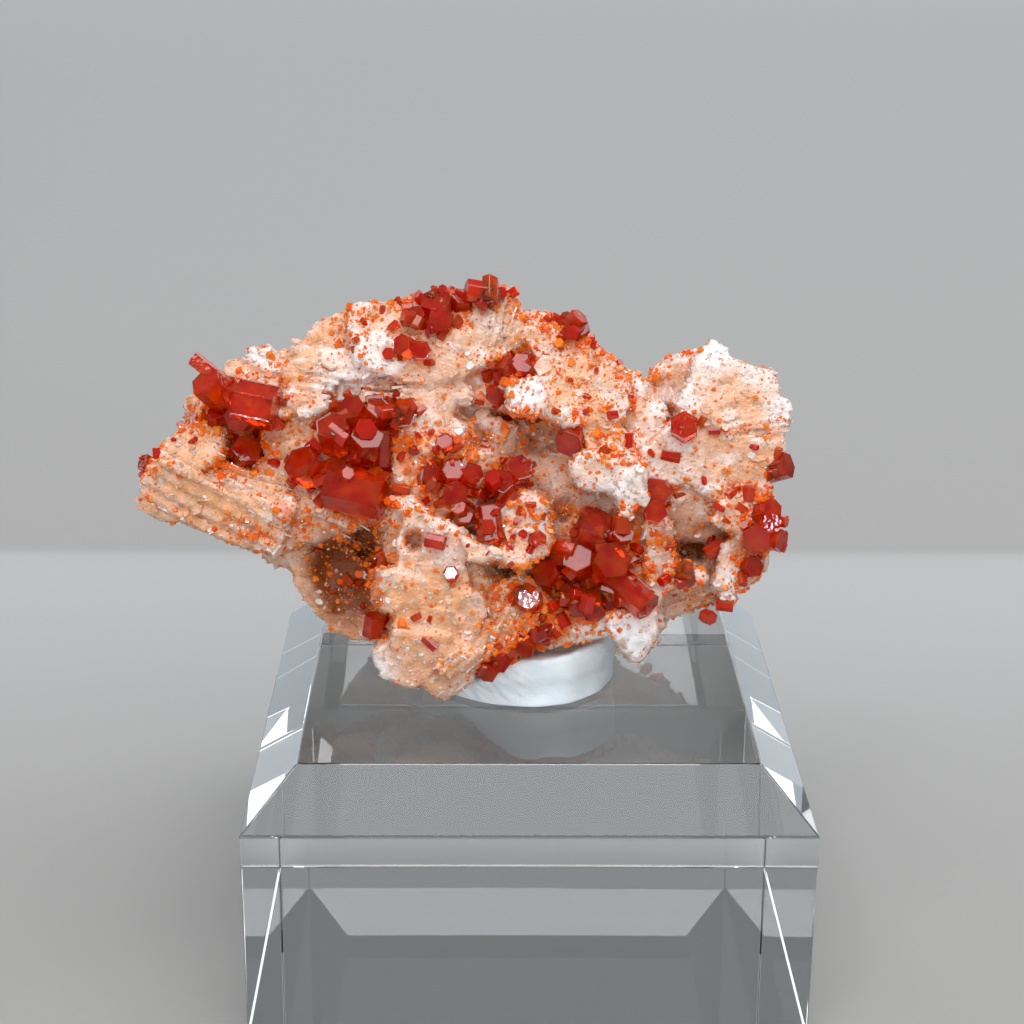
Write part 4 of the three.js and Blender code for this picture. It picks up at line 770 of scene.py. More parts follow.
# %% Belts of grains
BELTS = [
    (-13, 14.3, -8.4, 16, 0.8, 0.8), (-8.4, 16, -3.3, 16.8, 0.8, 1), (-3.3, 16.8, 3, 17, 0.9, 1),
    (2.8, 16.5, 3.4, 14.6, 0.7, 0.9), (3.4, 14.6, 7, 14.3, 0.8, 1), (7, 14.3, 10.8, 11.5, 0.9, 1),
    (10.8, 11.5, 13.2, 9.2, 0.8, 1), (13, 9.2, 13.6, 6.4, 0.6, 0.8), (7, 12.3, 9.5, 11, 0.8, 0.7),
    (11.4, 10.8, 12.8, 7.8, 0.5, 0.7), (10.8, 6.2, 12, 4.8, 0.6, 0.9),
    (10.5, 3.5, 12, 1.4, 0.7, 0.9), (12.4, 3.8, 14, 1.5, 0.7, 1), (-0.4, 7.4, 4.8, 5.1, 0.8, 1),
    (-5, 2.4, -0.6, 3.2, 1.5, 0.6), (0.6, 10.6, 5, 10.4, 0.8, 0.8), (8, 5.2, 10.8, 6.2, 0.7, 0.4),
    (1, 0.4, 4, 0.4, 0.9, 0.9), (15.9, 9.2, 17.4, 11.2, 0.6, 0.9),
    (17.4, 11.2, 19.6, 11.6, 0.5, 0.8), (21.5, 4, 27.6, 5.2, 0.4, 0.8),
    (21.2, -3, 22.6, -0.9, 0.9, 1), (22.6, -0.9, 25.4, -1.6, 0.9, 1),
    (25.4, -1.6, 26.8, -4.4, 0.9, 1), (26.2, -5, 24, -9.6, 1.1, 0.9),
    (17, -2.2, 19, -0.4, 0.7, 0.4), (16, -3.4, 16.6, -6.8, 0.8, 0.7),
    (15.9, -9, 18.6, -8.8, 0.7, 0.8), (12.6, -4, 14.6, -9, 1, 1),
    (19.8, -12.6, 23, -11.4, 0.6, 0.6), (7, -13.6, 11.6, -12.6, 0.8, 0.7),
    (6, -2.4, 9, -2.8, 0.8, 0.8), (0.4, -11, 4.6, -10.6, 0.9, 0.9), (-0.2, -14, 1, -10.6, 0.7, 0.9),
    (-0.6, -18.2, 3.4, -16.4, 0.9, 1), (3.4, -16.4, 7, -14, 1, 1), (-11, -8.8, -8.8, -7.4, 0.6, 1),
    (-10.2, -13.4, -9.6, -10.6, 0.5, 0.9), (-18.4, -3.4, -17.2, -5, 1.2, 1),
    (-23.5, -4.8, -19.6, -5.8, 1.1, 0.9), (-14, -3, -9.8, -4.8, 0.7, 0.6),
    (-29, 4.6, -25, 5.8, 0.8, 1), (-31.8, 0.4, -30, 2.4, 0.6, 0.8),
    (-25.4, 0.8, -20.4, 0.6, 0.8, 1), (-24.4, 8.6, -21.6, 9, 0.8, 0.5),
    (-19.8, 10.4, -18, 8, 0.8, 0.6), (-20, 3.4, -17.6, 4.8, 1, 0.6), (-9.6, 7.6, -8, 3.4, 1.2, 0.7),
    (-7.4, 3.4, -5, -2.8, 1.4, 0.7), (2.2, -4.6, 5.4, -6.4, 0.7, 0.4),
]


def belts(points, lines):
    """The strongest soft belt at each specimen point, on the front of the rock only."""
    total = np.zeros(len(points))
    spots_xz = points[:, [0, 2]]
    for x0, z0, x1, z1, width, strength in lines:
        start, run = np.array([x0, z0]), np.array([x1 - x0, z1 - z0])
        share = np.clip((spots_xz - start) @ run / (run @ run), 0, 1)
        far = np.linalg.norm(spots_xz - start - share[:, None] * run, axis=1) / width
        total = np.maximum(total, strength * np.exp(-far * far))
    return total * (1 - smoothstep(4, 9, points[:, 1]))


# %% Stain the rock along the belts
spots = to_specimen(surface)
uneven = 0.7 + 0.7 * lumps(spots, 0.9, 47.0)
druse = (blots(spots, DRUSE) + 0.75 * belts(spots, BELTS)) * uneven
attribute(rock, "druse", np.clip(druse, 0, 1))
print("druse covers", np.clip(druse, 0, 1).mean().round(3), "of the rock")


# %% Slabs take the colours of the rock
def match_rock(piece):
    """Gives each vertex of a lesser piece the colours of the rock nearest to it."""
    corners = triangles(rock)
    nearest = [corners[ROCK_TREE.find_nearest(point)[2], 0] for point in places(piece).tolist()]
    values = np.empty(len(rock.data.vertices), np.float32)
    for name in ("rust_and_painted_shade", "peach_and_painted_shade", "white_and_painted_light", "milky", "druse"):
        rock.data.attributes[name].data.foreach_get("value", values)
        attribute(piece, name, values[nearest])


# The slabs take the rock's painted shade and light along with its colours.
match_rock(slabs)


# %% How crowded each spot is
def seedling_weight(points, facing):
    front = smoothstep(0.5, -0.1, facing[:, 1])
    patchy = smoothstep(-0.1, 0.5, lumps(points, 1.7, 61.0))
    crowded = blots(points, CROWDS) ** 1.5 + 0.35 * belts(points, BELTS)
    return front * (crowded * (0.3 + patchy) + 0.006 * patchy)


def grain_weight(points, facing):
    front = smoothstep(0.6, -0.2, facing[:, 1])
    strings = smoothstep(0.05, 0.5, lumps(points, 1.3, 67.0))
    crowded = 0.5 * blots(points, CROWDS)
    bare = 1 - np.clip(blots(points, BARE), 0, 0.95)
    return front * bare * (crowded * (0.4 + strings) + 0.03 + 0.2 * strings) + 0.004


def crest_weight(points, facing):
    front = smoothstep(0.8, 0.0, facing[:, 1])
    strings = smoothstep(-0.1, 0.4, lumps(points, 1.1, 71.0))
    return front * (belts(points, BELTS) + 0.3 * blots(points, CROWDS)) * (0.3 + strings)


# %% Scatter seedlings and grains
SEEDLINGS = {
    "girth": (4, 0.048, 0.1, 0.48), "stretch": (1, 2.3), "lean": 0.45, "shades": (-0.3, 0.8),
}
GRAINS = {
    "girth": (3.2, 0.029, 0.05, 0.28), "stretch": (1.1, 2.2), "lean": 0.6, "shades": (0, 1),
}


def scattered(name, shape, count, weight, seed, girth, stretch, lean, shades):
    """A piece of prisms standing on the rock. girth is the shape and scale of a gamma
    draw of radii, with the least and most allowed; stretch is length over radius."""
    random = np.random.default_rng(seed)
    centres, facing, _ = scatter(count, weight, random)
    radius = random.gamma(*girth[:2], count).clip(*girth[2:])
    length = radius * random.uniform(*stretch, count)
    sizes = np.column_stack([radius, radius * flatness(count, random), length]) * MM
    axes = axes_along(facing + random.normal(0, lean, facing.shape), random)
    return joined_copies(name, shape, centres, axes, sizes, random.uniform(*shades, count))


seedlings, grains, crest_grains = (
    scattered("vanadinite_seedlings", SEEDLING, 2800, seedling_weight, 31, **SEEDLINGS),
    scattered("vanadinite_grains", GRAIN, 10500, grain_weight, 32, **GRAINS),
    scattered("vanadinite_crest_grains", GRAIN, 10000, crest_weight, 34, **GRAINS),
)

# %% [markdown]
# ## Large vanadinite crystals
#
# Each large crystal, or group that grew together, starts from its CAD solid. Coplanar
# triangles are merged into whole crystal faces, and every edge gets the tiny rounding
# that catches light on a real crystal.

# %% Large crystals
EDGE_ROUNDING = 0.05 * MM
SPIKE = 0.1 * MM
STEP_AREA = 1.4 * MM * MM
STEP_IN, STEP_DOWN = 0.13 * MM, 0.05 * MM
TRIES = ((True, EDGE_ROUNDING), (False, EDGE_ROUNDING), (False, 0.2 * EDGE_ROUNDING))


def step_faces(piece):
    """Large faces get a narrow raised rim, as crystals have that grow in layers."""
    alone(piece)
    bpy.ops.object.mode_set(mode="EDIT")
    bpy.ops.mesh.select_all(action="DESELECT")
    bpy.ops.object.mode_set(mode="OBJECT")
    for face in piece.data.polygons:
        corners = [piece.data.vertices[i].co for i in face.vertices]
        sides = [(a - b).length for a, b in zip(corners, corners[1:] + corners[:1])]
        chunky = min(sides) > 3 * STEP_IN and face.area > 0.045 * sum(sides) ** 2
        face.select = face.area > STEP_AREA and chunky
    bpy.ops.object.mode_set(mode="EDIT")
    bpy.ops.mesh.inset(thickness=STEP_IN, depth=-STEP_DOWN, use_individual=True)
    bpy.ops.object.mode_set(mode="OBJECT")


def grown(node):
    """The crystal, its steps and edges; anything that would leave a spike is left out."""
    solid = copy_of(node, "solid")
    in_edit_mode(solid, bpy.ops.mesh.dissolve_limited, angle_limit=radians(1.5))
    name = node.replace("vanadinite_", "crystal_")
    for stepped, rounding in TRIES:
        piece = bpy.data.objects.new(name, solid.data.copy())
        bpy.context.scene.collection.objects.link(piece)
        if stepped:
            step_faces(piece)
        modify(
            piece, "BEVEL", width=rounding, segments=2, limit_method="ANGLE",
            angle_limit=radians(25), use_clamp_overlap=True,
        )
        modify(piece, "TRIANGULATE")
        low, high = places(solid).min(0) - SPIKE, places(solid).max(0) + SPIKE
        if (places(piece) > low).all() and (places(piece) < high).all():
            break
        bpy.data.objects.remove(piece)
    bpy.data.objects.remove(solid)
    return piece


large_crystals = {
    node: grown(node) for node in sorted(NODES) if node.startswith("vanadinite_")
}
print("large crystal pieces:", len(large_crystals))

# %% [markdown]
# One small tablet on the near face throws a window straight at the viewer. Its face is
# turned to the line halfway between the viewer and that window.

# %% Turn the bright tablet
CAMERA_PLACE = Vector((-3.868, -186.239, 108.967)) * MM
SPARK_PLACE = Vector((-0.22, -0.39, 0.60))
mirror = large_crystals["vanadinite_mirror"]
spots = places(mirror)
middle = Vector(spots.mean(0))
halfway = (CAMERA_PLACE - middle).normalized() + (SPARK_PLACE - middle).normalized()
MIRROR_FACE = Vector((0.04, -0.765, 0.643))
turn = np.array(MIRROR_FACE.rotation_difference(halfway.normalized()).to_matrix())
move_to(mirror, (spots - spots.mean(0)) @ turn.T + spots.mean(0))

# %% [markdown]
# ## Companions on the large crystals
#
# A large vanadinite crystal is rarely alone: lesser prisms grow over it and out of its
# sides at all angles. They are scattered over the large crystals, in patches. Some whole
# crystals stay clean, and so do some big prisms: x, z, radius and strength for each.

# %% Scatter companions
COMPANION_COUNT = 200
CLEAN_PRISMS = [(-12, -1.8, 2.6, 1.2), (-9.5, -2.2, 2, 1), (13, -9, 2, 1), (-14, 2.5, 1.4, 0.8)]
CLEAN_CRYSTALS = (
    "wing_top", "mirror", "recess", "tablet", "hex_pair", "toe", "barrel", "chip", "upper",
)


def companion_weight(points, facing):
    patchy = smoothstep(-0.05, 0.3, lumps(points, 2.2, 73.0))
    clean = 1 - np.clip(blots(points, CLEAN_PRISMS), 0, 1)
    return (0.08 + patchy) * clean * smoothstep(0.7, 0.2, facing[:, 1])


random = np.random.default_rng(33)
crystal_corners = np.concatenate(
    [
        places(piece)[triangles(piece)] for node, piece in large_crystals.items()
        if not any(word in node for word in CLEAN_CRYSTALS)
    ]
)
centres, facing, _ = scatter_on(crystal_corners, COMPANION_COUNT, companion_weight, random)
radius = random.gamma(3, 0.15, COMPANION_COUNT).clip(0.2, 1.1)
length = radius * random.uniform(1.3, 2.8, COMPANION_COUNT)
centres = centres - facing * (length * 0.22)[:, None] * MM
axes = axes_along(facing + random.normal(0, 0.6, facing.shape), random)
sizes = np.column_stack([radius, radius * flatness(COMPANION_COUNT, random), length]) * MM
companions = joined_copies(
    "vanadinite_companions", CRYSTAL, centres, axes, sizes, random.random(COMPANION_COUNT)
)

# %% [markdown]
# ## The mineral tack
#
# The tack is a ball of putty, rolled and then pressed between the rock and the block. A
# voxel skin, much smoothed, gives the soft ball. Its wall is then made steep: the girth
# is measured at several heights, and each height is widened to the full girth. It spreads
# furthest to the left, and its foot is pressed flat on the block.

# %% Wrap the tack in a soft skin
TACK_VOXEL = 0.17 * MM
SKIN_SMOOTHING, WALL_SMOOTHING = 110, 24
tack = copy_of("mineral_tack", "putty_pad")
modify(tack, "REMESH", mode="VOXEL", voxel_size=TACK_VOXEL, adaptivity=0)
modify(tack, "SMOOTH", factor=0.5, iterations=SKIN_SMOOTHING)
alone(tack)
bpy.ops.object.shade_smooth()

# %% Press the tack outwards
SPREAD_LEFT_AND_FRONT, SPREAD_RIGHT_AND_BACK = (0.39, 0.19), (0.05, 0.1)
MOST_WIDENING = 1.8
low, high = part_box("mineral_tack")


def height_share(points):
    """0 at the foot of the CAD tack and 1 at its top."""
    return (points[:, 2] - low.z) / (high.z - low.z)


spots = places(tack)
height = height_share(spots)
middle = (spots.min(0) + spots.max(0))[:2] / 2
half = (spots.max(0) - spots.min(0))[:2] / 2
offset = (spots[:, :2] - middle) / half
girth = np.hypot(*offset.T)
levels = np.linspace(0, 0.7, 8)
rims = [np.percentile(girth[np.abs(height - level) < 0.05], 95) for level in levels]
wall = np.interp(height, levels, (1.0 / np.array(rims)).clip(1, MOST_WIDENING))
wall = 1 + (wall - 1) * smoothstep(0.95, 0.6, height)
spread = np.where(offset < 0, SPREAD_LEFT_AND_FRONT, SPREAD_RIGHT_AND_BACK)
spread *= smoothstep(1.0, 0.5, height)[:, None]
spots[:, :2] = middle + offset * wall[:, None] * (1 + spread) * half
move_to(tack, spots)
modify(tack, "SMOOTH", factor=0.5, iterations=WALL_SMOOTHING)

# %% [markdown]
# The skin of putty is smooth where a thumb pressed it, and finely wrinkled at the left,
# where it was squeezed. The wrinkles are noise squashed across the folds.

# %% Set the foot down and wrinkle the skin
FOOT = low.z + 0.02 * MM
PRESSED_FLAT, FOOT_BLEND = 0.6 * MM, 2.5 * MM
FOLDS = np.array([[1.5, 0.2, 0.3], [0.3, 0.5, 0], [1.5, 0.2, -0.4]])
spots = places(tack)
flat = spots[:, 2].min() + PRESSED_FLAT
sunk = smoothstep(flat + FOOT_BLEND, flat, spots[:, 2]) * (flat - FOOT)
spots[:, 2] = np.maximum(spots[:, 2], flat) - sunk
move_to(tack, spots)
bulge = lumps(spots / MM, 6, 7.0) * 0.4 + lumps(spots / MM, 2.4, 9.0) * 0.08
left_part = smoothstep(2 * MM, -5 * MM, spots[:, 0])
wrinkles = lumps((spots / MM) @ FOLDS, 0.9, 13.0) * (0.03 + 0.32 * left_part)
calm = smoothstep(0.0, 0.12, height_share(spots))
moved = spots + normals(tack) * ((bulge + wrinkles) * calm)[:, None] * MM
move_to(tack, moved)
print("tack from", (moved.min(0) / MM).round(1), "to", (moved.max(0) / MM).round(1), "mm")

# %% [markdown]
# ## The acrylic block
#
# Polished acrylic shows its edges as bright hairlines, because they are eased by a
# fraction of a millimetre. The CAD block is right in every size, so a copy only gets
# that easing.

# %% Ease the block's edges
EASING = 0.18 * MM
block = copy_of("display_block", "acrylic_block")
in_edit_mode(block, bpy.ops.mesh.dissolve_limited, angle_limit=radians(1))
modify(block, "BEVEL", width=EASING, segments=4, limit_method="ANGLE", angle_limit=radians(20))


# %% [markdown]
# ## Materials: shared helpers
#
# Each material is a Principled shader with constant values on its own sockets, and
# textures feeding only colour, roughness and bump. `put` links a socket if it is given
# one, and otherwise sets a plain value.

# %% Material helpers
def put(tree, value, socket):
    if isinstance(value, bpy.types.NodeSocket):
        tree.links.new(value, socket)
    elif isinstance(value, tuple) and len(value) == 3 and socket.type == "RGBA":
        socket.default_value = (*value, 1)
    else:
        socket.default_value = value


def new_material(name, **values):
    material = bpy.data.materials.new(name)
    material.use_nodes = True
    tree = material.node_tree
    shader = tree.nodes["Principled BSDF"]
    for socket, value in values.items():
        put(tree, value, shader.inputs[socket.replace("_", " ")])
    return material, tree, shader


def add_node(tree, kind, **settings):
    """Settings are properties of the node, or its input sockets with _ for a space."""
    node = tree.nodes.new("ShaderNode" + kind)
    for name, value in settings.items():
        if hasattr(node, name):
            setattr(node, name, value)
        else:
            put(tree, value, node.inputs[name.replace("_", " ")])
    return node


def read_attribute(tree, name):
    return add_node(tree, "Attribute", attribute_name=name).outputs["Fac"]


def mixed(tree, factor, a, b, blend="MIX"):
    node = add_node(tree, "Mix", data_type="RGBA", blend_type=blend)
    for socket, value in zip((node.inputs[0], node.inputs[6], node.inputs[7]), (factor, a, b)):
        put(tree, value, socket)
    return node.outputs[2]


def ranged(tree, value, low, high, to_low=0.0, to_high=1.0):
    node = add_node(tree, "MapRange")
    for socket, number in zip(node.inputs[:5], (value, low, high, to_low, to_high)):
        put(tree, number, socket)
    return node.outputs[0]


def bumped(tree, shader, layers):
    """Chained bumps, coarse to fine: (height socket, distance in metres, strength)."""
    normal = None
    for height, distance, strength in layers:
        bump = add_node(tree, "Bump", Distance=distance, Strength=strength, Height=height)
        if normal is not None:
            put(tree, normal, bump.inputs["Normal"])
        normal = bump.outputs["Normal"]
    put(tree, normal, shader.inputs["Normal"])


def millimetres(tree):
    """Object coordinates in millimetres."""
    coordinates = add_node(tree, "TexCoord").outputs["Object"]
    return add_node(tree, "Mapping", Scale=(1000, 1000, 1000), Vector=coordinates).outputs[0]


# %% [markdown]
# ## Materials: shared effects
#
# Three effects turn up in several materials, so each is one node group with named
# sockets, built once and placed wherever it is needed with its own values.
#
# - `mineral_grain`: soft clouds, small cells and fine grain, as three patterns
# - `tone_variation`: a colour made darker and brighter by a pattern
# - `patchy_gloss`: a roughness that wanders between a glossy and a dull value

# %% Making and placing effects
def new_group(name, inputs, outputs):
    tree = bpy.data.node_groups.new(name, "ShaderNodeTree")
    for sockets, direction in ((inputs, "INPUT"), (outputs, "OUTPUT")):
        for socket, kind in sockets.items():
            tree.interface.new_socket(
                name=socket, in_out=direction, socket_type="NodeSocket" + kind
            )
    given = tree.nodes.new("NodeGroupInput").outputs
    return tree, given, tree.nodes.new("NodeGroupOutput").inputs


def placed(tree, group, **values):
    """Places a shared effect in a material and returns its outputs."""
    node = tree.nodes.new("ShaderNodeGroup")
    node.node_tree = group
    for socket, value in values.items():
        put(tree, value, node.inputs[socket.replace("_", " ")])
    return node.outputs


def pattern(tree, kind, output, vector, scale, **values):
    node = add_node(tree, kind, **values)
    put(tree, vector, node.inputs["Vector"])
    put(tree, scale, node.inputs["Scale"])
    return node.outputs[output]


# %% Mineral grain
MINERAL_GRAIN, given, wanted = new_group(
    "mineral_grain",
    {"Coordinates": "Vector", **{part + " Scale": "Float" for part in ("Cloud", "Cell", "Grain")}},
    {"Clouds": "Float", "Cells": "Float", "Grain": "Float"},
)
for kind, output, socket, result, detail in (
    ("TexNoise", "Fac", "Cloud Scale", "Clouds", {"Detail": 4.0}),
    ("TexVoronoi", "Distance", "Cell Scale", "Cells", {}),
    ("TexNoise", "Fac", "Grain Scale", "Grain", {"Detail": 5.0}),
):
    made = pattern(MINERAL_GRAIN, kind, output, given["Coordinates"], given[socket], **detail)
    put(MINERAL_GRAIN, made, wanted[result])

# %% Tone variation and patchy gloss
TONE_VARIATION, given, wanted = new_group(
    "tone_variation",
    {"Colour": "Color", "Pattern": "Float", "Darkest": "Float", "Brightest": "Float"},
    {"Colour": "Color"},
)
strength = ranged(
    TONE_VARIATION, given["Pattern"], 0.3, 0.7, given["Darkest"], given["Brightest"]
)
varied = mixed(TONE_VARIATION, 1.0, given["Colour"], strength, "MULTIPLY")
put(TONE_VARIATION, varied, wanted["Colour"])

PATCHY_GLOSS, given, wanted = new_group(
    "patchy_gloss",
    {"Coordinates": "Vector", "Scale": "Float", "Glossy": "Float", "Dull": "Float"},
    {"Roughness": "Float"},
)
patches = pattern(PATCHY_GLOSS, "TexNoise", "Fac", given["Coordinates"], given["Scale"], Detail=3.0)
roughness = ranged(PATCHY_GLOSS, patches, 0.38, 0.7, given["Glossy"], given["Dull"])
put(PATCHY_GLOSS, roughness, wanted["Roughness"])
print("shared effects:", [group.name for group in bpy.data.node_groups])


# %% One way to finish a surface
def finished(tree, shader, colour, vector, grain, tones, gloss, layers):
    """Varies a colour and a gloss and adds bumps. tones are darkest and brightest, and
    gloss is its scale, its glossy end and its dull end."""
    toned = placed(
        tree, TONE_VARIATION, Colour=colour, Pattern=grain["Clouds"],
        Darkest=tones[0], Brightest=tones[1],
    )
    put(tree, toned["Colour"], shader.inputs["Base Color"])
    scale, glossy, dull = gloss
    rough = placed(tree, PATCHY_GLOSS, Coordinates=vector, Scale=scale, Glossy=glossy, Dull=dull)
    put(tree, rough["Roughness"], shader.inputs["Roughness"])
    bumped(tree, shader, layers)


def dress(pieces, material):
    """Gives pieces one material, in place of any that they had."""
    for piece in pieces:
        piece.data.materials.clear()
        piece.data.materials.append(material)


# %% [markdown]
# ## Barite
#
# Barite here is cream and slightly see-through, so light bleeds through its thin edges.
# Peach, white, rust and druse come from the attributes made above, broken up by noise.
# Part of the peach and rust is painted shade, and part of the white is painted light.
# The bump is a sugar of tiny cells with a few larger chips.

# %% Barite material
CREAM = (0.78, 0.46, 0.31)
# The peach and the rust brown below are the rock's own colours, and also its painted shade in
# hollows and on low faces.
PEACH_AND_SHADE_TONE = (0.78, 0.385, 0.19)
RUST_AND_SHADE_TONE = (0.23, 0.052, 0.009)
DRUSE_TONE = (0.72, 0.12, 0.015)
CHALK = (0.90, 0.75, 0.69)
MILK = (0.92, 0.89, 0.89)


def barite_material(name, painted, glossy):
    material, tree, shader = new_material(
        name, Subsurface_Weight=0.3, Subsurface_Radius=(1.0, 0.55, 0.32),
        Subsurface_Scale=0.0007, IOR=1.64,
    )
    vector = millimetres(tree)
    grain = placed(
        tree, MINERAL_GRAIN, Coordinates=vector, Cloud_Scale=1.1, Cell_Scale=3.4, Grain_Scale=5.0
    )
    if painted:
        # Peach: a flush of colour, and painted shade in hollows and low on the rock.
        colour = mixed(tree, read_attribute(tree, "peach_and_painted_shade"), CREAM, PEACH_AND_SHADE_TONE)
        # White: chalk, and painted light where blots lighten spots in shade.
        white_and_painted_light = ranged(tree, read_attribute(tree, "white_and_painted_light"), 0.15, 0.9)
        colour = mixed(tree, white_and_painted_light, colour, CHALK)
        colour = mixed(tree, read_attribute(tree, "milky"), colour, MILK)
        # Rust brown: iron stain, and painted shade in hollows and recesses.
        rust_and_painted_shade = ranged(tree, read_attribute(tree, "rust_and_painted_shade"), 0.1, 0.85)
        colour = mixed(tree, rust_and_painted_shade, colour, RUST_AND_SHADE_TONE)
        druse = ranged(tree, read_attribute(tree, "druse"), 0.3, 0.9)
        colour = mixed(tree, druse, colour, DRUSE_TONE)
    else:
        tone = ranged(tree, read_attribute(tree, "shade"), 0.2, 0.95)
        colour = mixed(tree, tone, CREAM, CHALK)
    clouds, chips = (grain["Clouds"], 0.0003, 0.4), (grain["Cells"], 0.00012, 0.6)
    layers = [clouds, chips, (grain["Grain"], 0.00005, 0.5)]
    finished(tree, shader, colour, vector, grain, (0.78, 1.08), (3.0, glossy, 0.6), layers)
    return material


dress((rock, slabs), barite_material("barite_rock", painted=True, glossy=0.26))
dress((blades, sugar), barite_material("barite_plates", painted=False, glossy=0.08))

# %% [markdown]
# ## Vanadinite
#
# Vanadinite is a heavy, resinous lead mineral: high index, strong gloss, and red that
# glows orange where a crystal is thin. Most of the light goes through the crystal, some
# scatters inside it, and the faces mirror the windows.

# %% Vanadinite material
DEEP_RED = (0.97, 0.022, 0.004)
ORANGE_RED = (1.0, 0.12, 0.009)
GRAIN_RED = (0.95, 0.13, 0.01)
GRAIN_ORANGE = (1.0, 0.30, 0.028)


def vanadinite_material(name, dark, light, clear, glow, shaded):
    """clear is light passing through, glow is light scattered inside. A shaded material
    takes its tone from each crystal's own shade, and any other from soft clouds."""
    material, tree, shader = new_material(
        name, IOR=1.68, Specular_IOR_Level=0.4, Transmission_Weight=clear, Subsurface_Weight=glow,
        Subsurface_Radius=(1.3, 0.22, 0.06), Subsurface_Scale=0.001,
    )
    vector = millimetres(tree)
    growth = placed(
        tree, MINERAL_GRAIN, Coordinates=vector, Cloud_Scale=0.8, Cell_Scale=2.4, Grain_Scale=7.0
    )
    factor = read_attribute(tree, "shade") if shaded else growth["Clouds"]
    bounds = (0.0, 1.0) if shaded else (0.36, 0.62)
    colour = mixed(tree, ranged(tree, factor, *bounds), dark, light)
    layers = [(growth["Cells"], 0.00003, 0.4), (growth["Grain"], 0.00001, 0.2)]
    finished(tree, shader, colour, vector, growth, (0.8, 1.0), (0.6, 0.01, 0.07), layers)
    return material


large_material = vanadinite_material("vanadinite_large", DEEP_RED, ORANGE_RED, 0.8, 1.0, False)
small_material = vanadinite_material("vanadinite_small", DEEP_RED, ORANGE_RED, 0.6, 1.0, True)
grain_material = vanadinite_material("vanadinite_grain", GRAIN_RED, GRAIN_ORANGE, 0.1, 0.0, True)
dress(large_crystals.values(), large_material)
dress((small_crystals, companions), small_material)
dress((seedlings, grains, crest_grains), grain_material)

# %% [markdown]
# ## Putty and acrylic
#
# Putty is matt, bluish white and softly translucent. Acrylic is plain clear
# transmission, with only a breath of colour.

# %% Putty and acrylic materials
PUTTY_WHITE = (0.87, 0.95, 1.0)
ACRYLIC_TINT = (0.97, 0.985, 0.99)


def putty_material():
    material, tree, shader = new_material(
        "mineral_putty", Subsurface_Weight=0.08, Subsurface_Radius=(1.0, 0.9, 0.8),
        Subsurface_Scale=0.0006, IOR=1.45,
    )
    vector = millimetres(tree)
    grain = placed(
        tree, MINERAL_GRAIN, Coordinates=vector, Cloud_Scale=0.4, Cell_Scale=1.5, Grain_Scale=4.0
    )
    layers = [(grain["Clouds"], 0.0004, 0.5), (grain["Grain"], 0.0001, 0.6)]
    finished(tree, shader, PUTTY_WHITE, vector, grain, (0.9, 1.0), (4.0, 0.5, 0.8), layers)
    return material


def acrylic_material():
    material, tree, shader = new_material(
        "clear_acrylic", Transmission_Weight=1.0, IOR=1.49, Base_Color=ACRYLIC_TINT,
    )
    gloss = placed(
        tree, PATCHY_GLOSS, Coordinates=millimetres(tree), Scale=0.25, Glossy=0.0, Dull=0.008
    )
    put(tree, gloss["Roughness"], shader.inputs["Roughness"])
    return material


dress((tack,), putty_material())
dress((block,), acrylic_material())

# %% [markdown]
# ## Who rides and who replaces
#
# Everything stands still together, so every piece rides on the root body. The detailed
# pieces take over from the CAD nodes, which stay behind the scenes for collision.

# %% Ride and replace
REPLACEMENTS = {
    block: ("display_block", "clear_acrylic"),
    tack: ("mineral_tack", "mineral_tack"),
    rock: ("barite_matrix", "barite"),
}
for node, piece in large_crystals.items():
    REPLACEMENTS[piece] = (node, "vanadinite")
for piece, (node, finish) in REPLACEMENTS.items():
    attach(piece, "root")
    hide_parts(node)
for piece, finish in (
    (slabs, "barite"), (blades, "barite"), (sugar, "barite"), (small_crystals, "vanadinite"),
    (seedlings, "vanadinite"), (companions, "vanadinite"), (grains, "vanadinite"),
    (crest_grains, "vanadinite"),
):
    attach(piece, "root")

# %% [markdown]
# ## The studio
#
# A pale floor sweeps away under everything. A broad soft window hangs overhead, and a
# low wide one behind draws the bright lines in the acrylic. Two small windows throw
# sparks into crystal faces, two fills at the front open the shadows without being
# mirrored, and a strip behind the block lights its side bevels.

# %% Floor
FLOOR_SIZE = 8.0
FLOOR_GREY = (0.34, 0.335, 0.32)
AIR_GAP = 0.05 * MM
bpy.ops.object.select_all(action="DESELECT")
bpy.ops.mesh.primitive_plane_add(size=FLOOR_SIZE)
floor = bpy.context.object
floor.name = "floor"
floor.location.z = -AIR_GAP
floor_material, _, _ = new_material("pale_floor", Base_Color=FLOOR_GREY, Roughness=0.4)
floor.data.materials.append(floor_material)


# %% Lights
def window(name, place, size, power, colour):
    """A soft area light at a place in metres, aimed at the specimen."""
    light = bpy.data.lights.new(name, "AREA")
    light.shape = "RECTANGLE"
    light.size, light.size_y = size
    light.energy = power
    light.color = colour
    lamp = bpy.data.objects.new(name, light)
    bpy.context.scene.collection.objects.link(lamp)
    lamp.location = place
    aim = SPECIMEN_CENTRE - Vector(place)
    lamp.rotation_euler = aim.to_track_quat("-Z", "Y").to_euler()
    lamp.visible_camera = False
    return lamp


COOL_WHITE = (0.95, 0.97, 1.0)
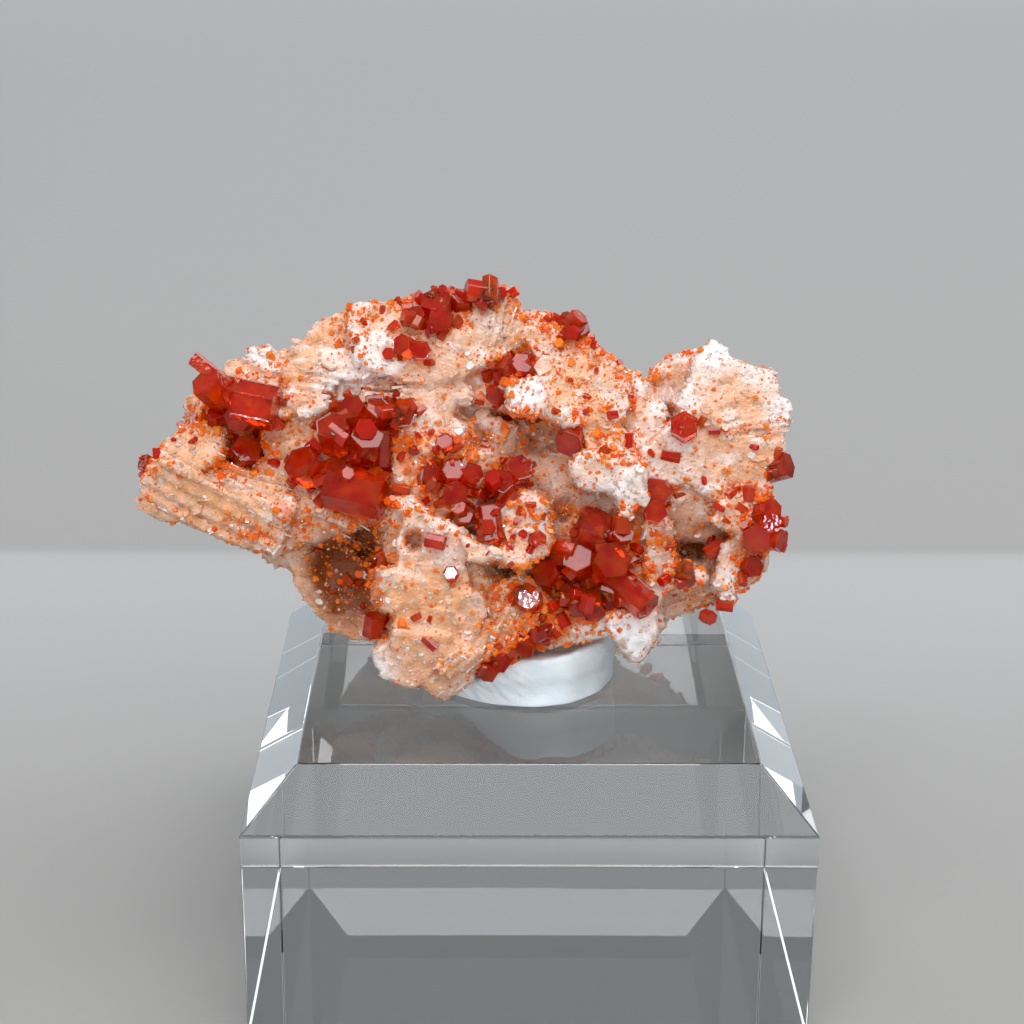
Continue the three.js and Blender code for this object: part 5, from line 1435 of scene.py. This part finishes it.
# Each window's place, its width and height, its power in watts and its colour.
WINDOWS = {
    "key_window": ((0.08, -0.16, 0.84), (1.3, 0.66), 8.9, (0.98, 0.97, 1.0)),
    "spark_window": (SPARK_PLACE, (0.06, 0.06), 0.33, (0.88, 0.95, 1.0)),
    "right_spark": ((0.50, -0.45, 0.35), (0.05, 0.05), 0.12, COOL_WHITE),
    "front_fill": ((0.15, -0.75, 0.50), (0.8, 0.6), 2.7, COOL_WHITE),
    "low_fill": ((-0.2, -0.75, 0.09), (0.7, 0.14), 1.7, COOL_WHITE),
    "back_window": ((0.0, 1.15, 0.25), (2.6, 0.5), 4.5, (0.92, 0.96, 1.0)),
    "bevel_strip": ((0.0, 0.10, 0.016), (0.5, 0.03), 0.045, (0.78, 0.89, 1.0)),
}
lamps = {name: window(name, *values) for name, values in WINDOWS.items()}
lamps["front_fill"].visible_glossy = lamps["low_fill"].visible_glossy = False
strip = lamps["bevel_strip"]
strip.rotation_euler = (radians(-90), 0, 0)
strip.visible_diffuse = strip.visible_transmission = False

# %% The pale room
ROOM_COLOUR, ROOM_STRENGTH = (0.86, 0.89, 0.92), 0.2
world = bpy.data.worlds.new("soft_room")
world.use_nodes = True
background = world.node_tree.nodes["Background"].inputs
background["Color"].default_value = (*ROOM_COLOUR, 1)
background["Strength"].default_value = ROOM_STRENGTH
bpy.context.scene.world = world
bpy.context.scene.view_settings.view_transform = "Standard"

# %% [markdown]
# ## The camera
#
# The camera looks slightly down on the specimen, close enough for the block's lower
# part to leave the frame.

# %% Camera
SENSOR_MM, LENS_MM = 36, 72.95
LOOK_DOWN_DEG, TURN_RIGHT_DEG, ROLL_DEG = 19.86, 0.75, 0.392
camera_data = bpy.data.cameras.new("camera")
camera_data.sensor_width = SENSOR_MM
camera_data.lens = LENS_MM
camera_data.clip_start = 0.01
camera = bpy.data.objects.new("camera", camera_data)
bpy.context.scene.collection.objects.link(camera)
camera.matrix_world = (
    Matrix.Translation(CAMERA_PLACE)
    @ Matrix.Rotation(radians(-TURN_RIGHT_DEG), 4, "Z")
    @ Matrix.Rotation(radians(90 - LOOK_DOWN_DEG), 4, "X")
    @ Matrix.Rotation(radians(ROLL_DEG), 4, "Z")
)
bpy.context.scene.camera = camera
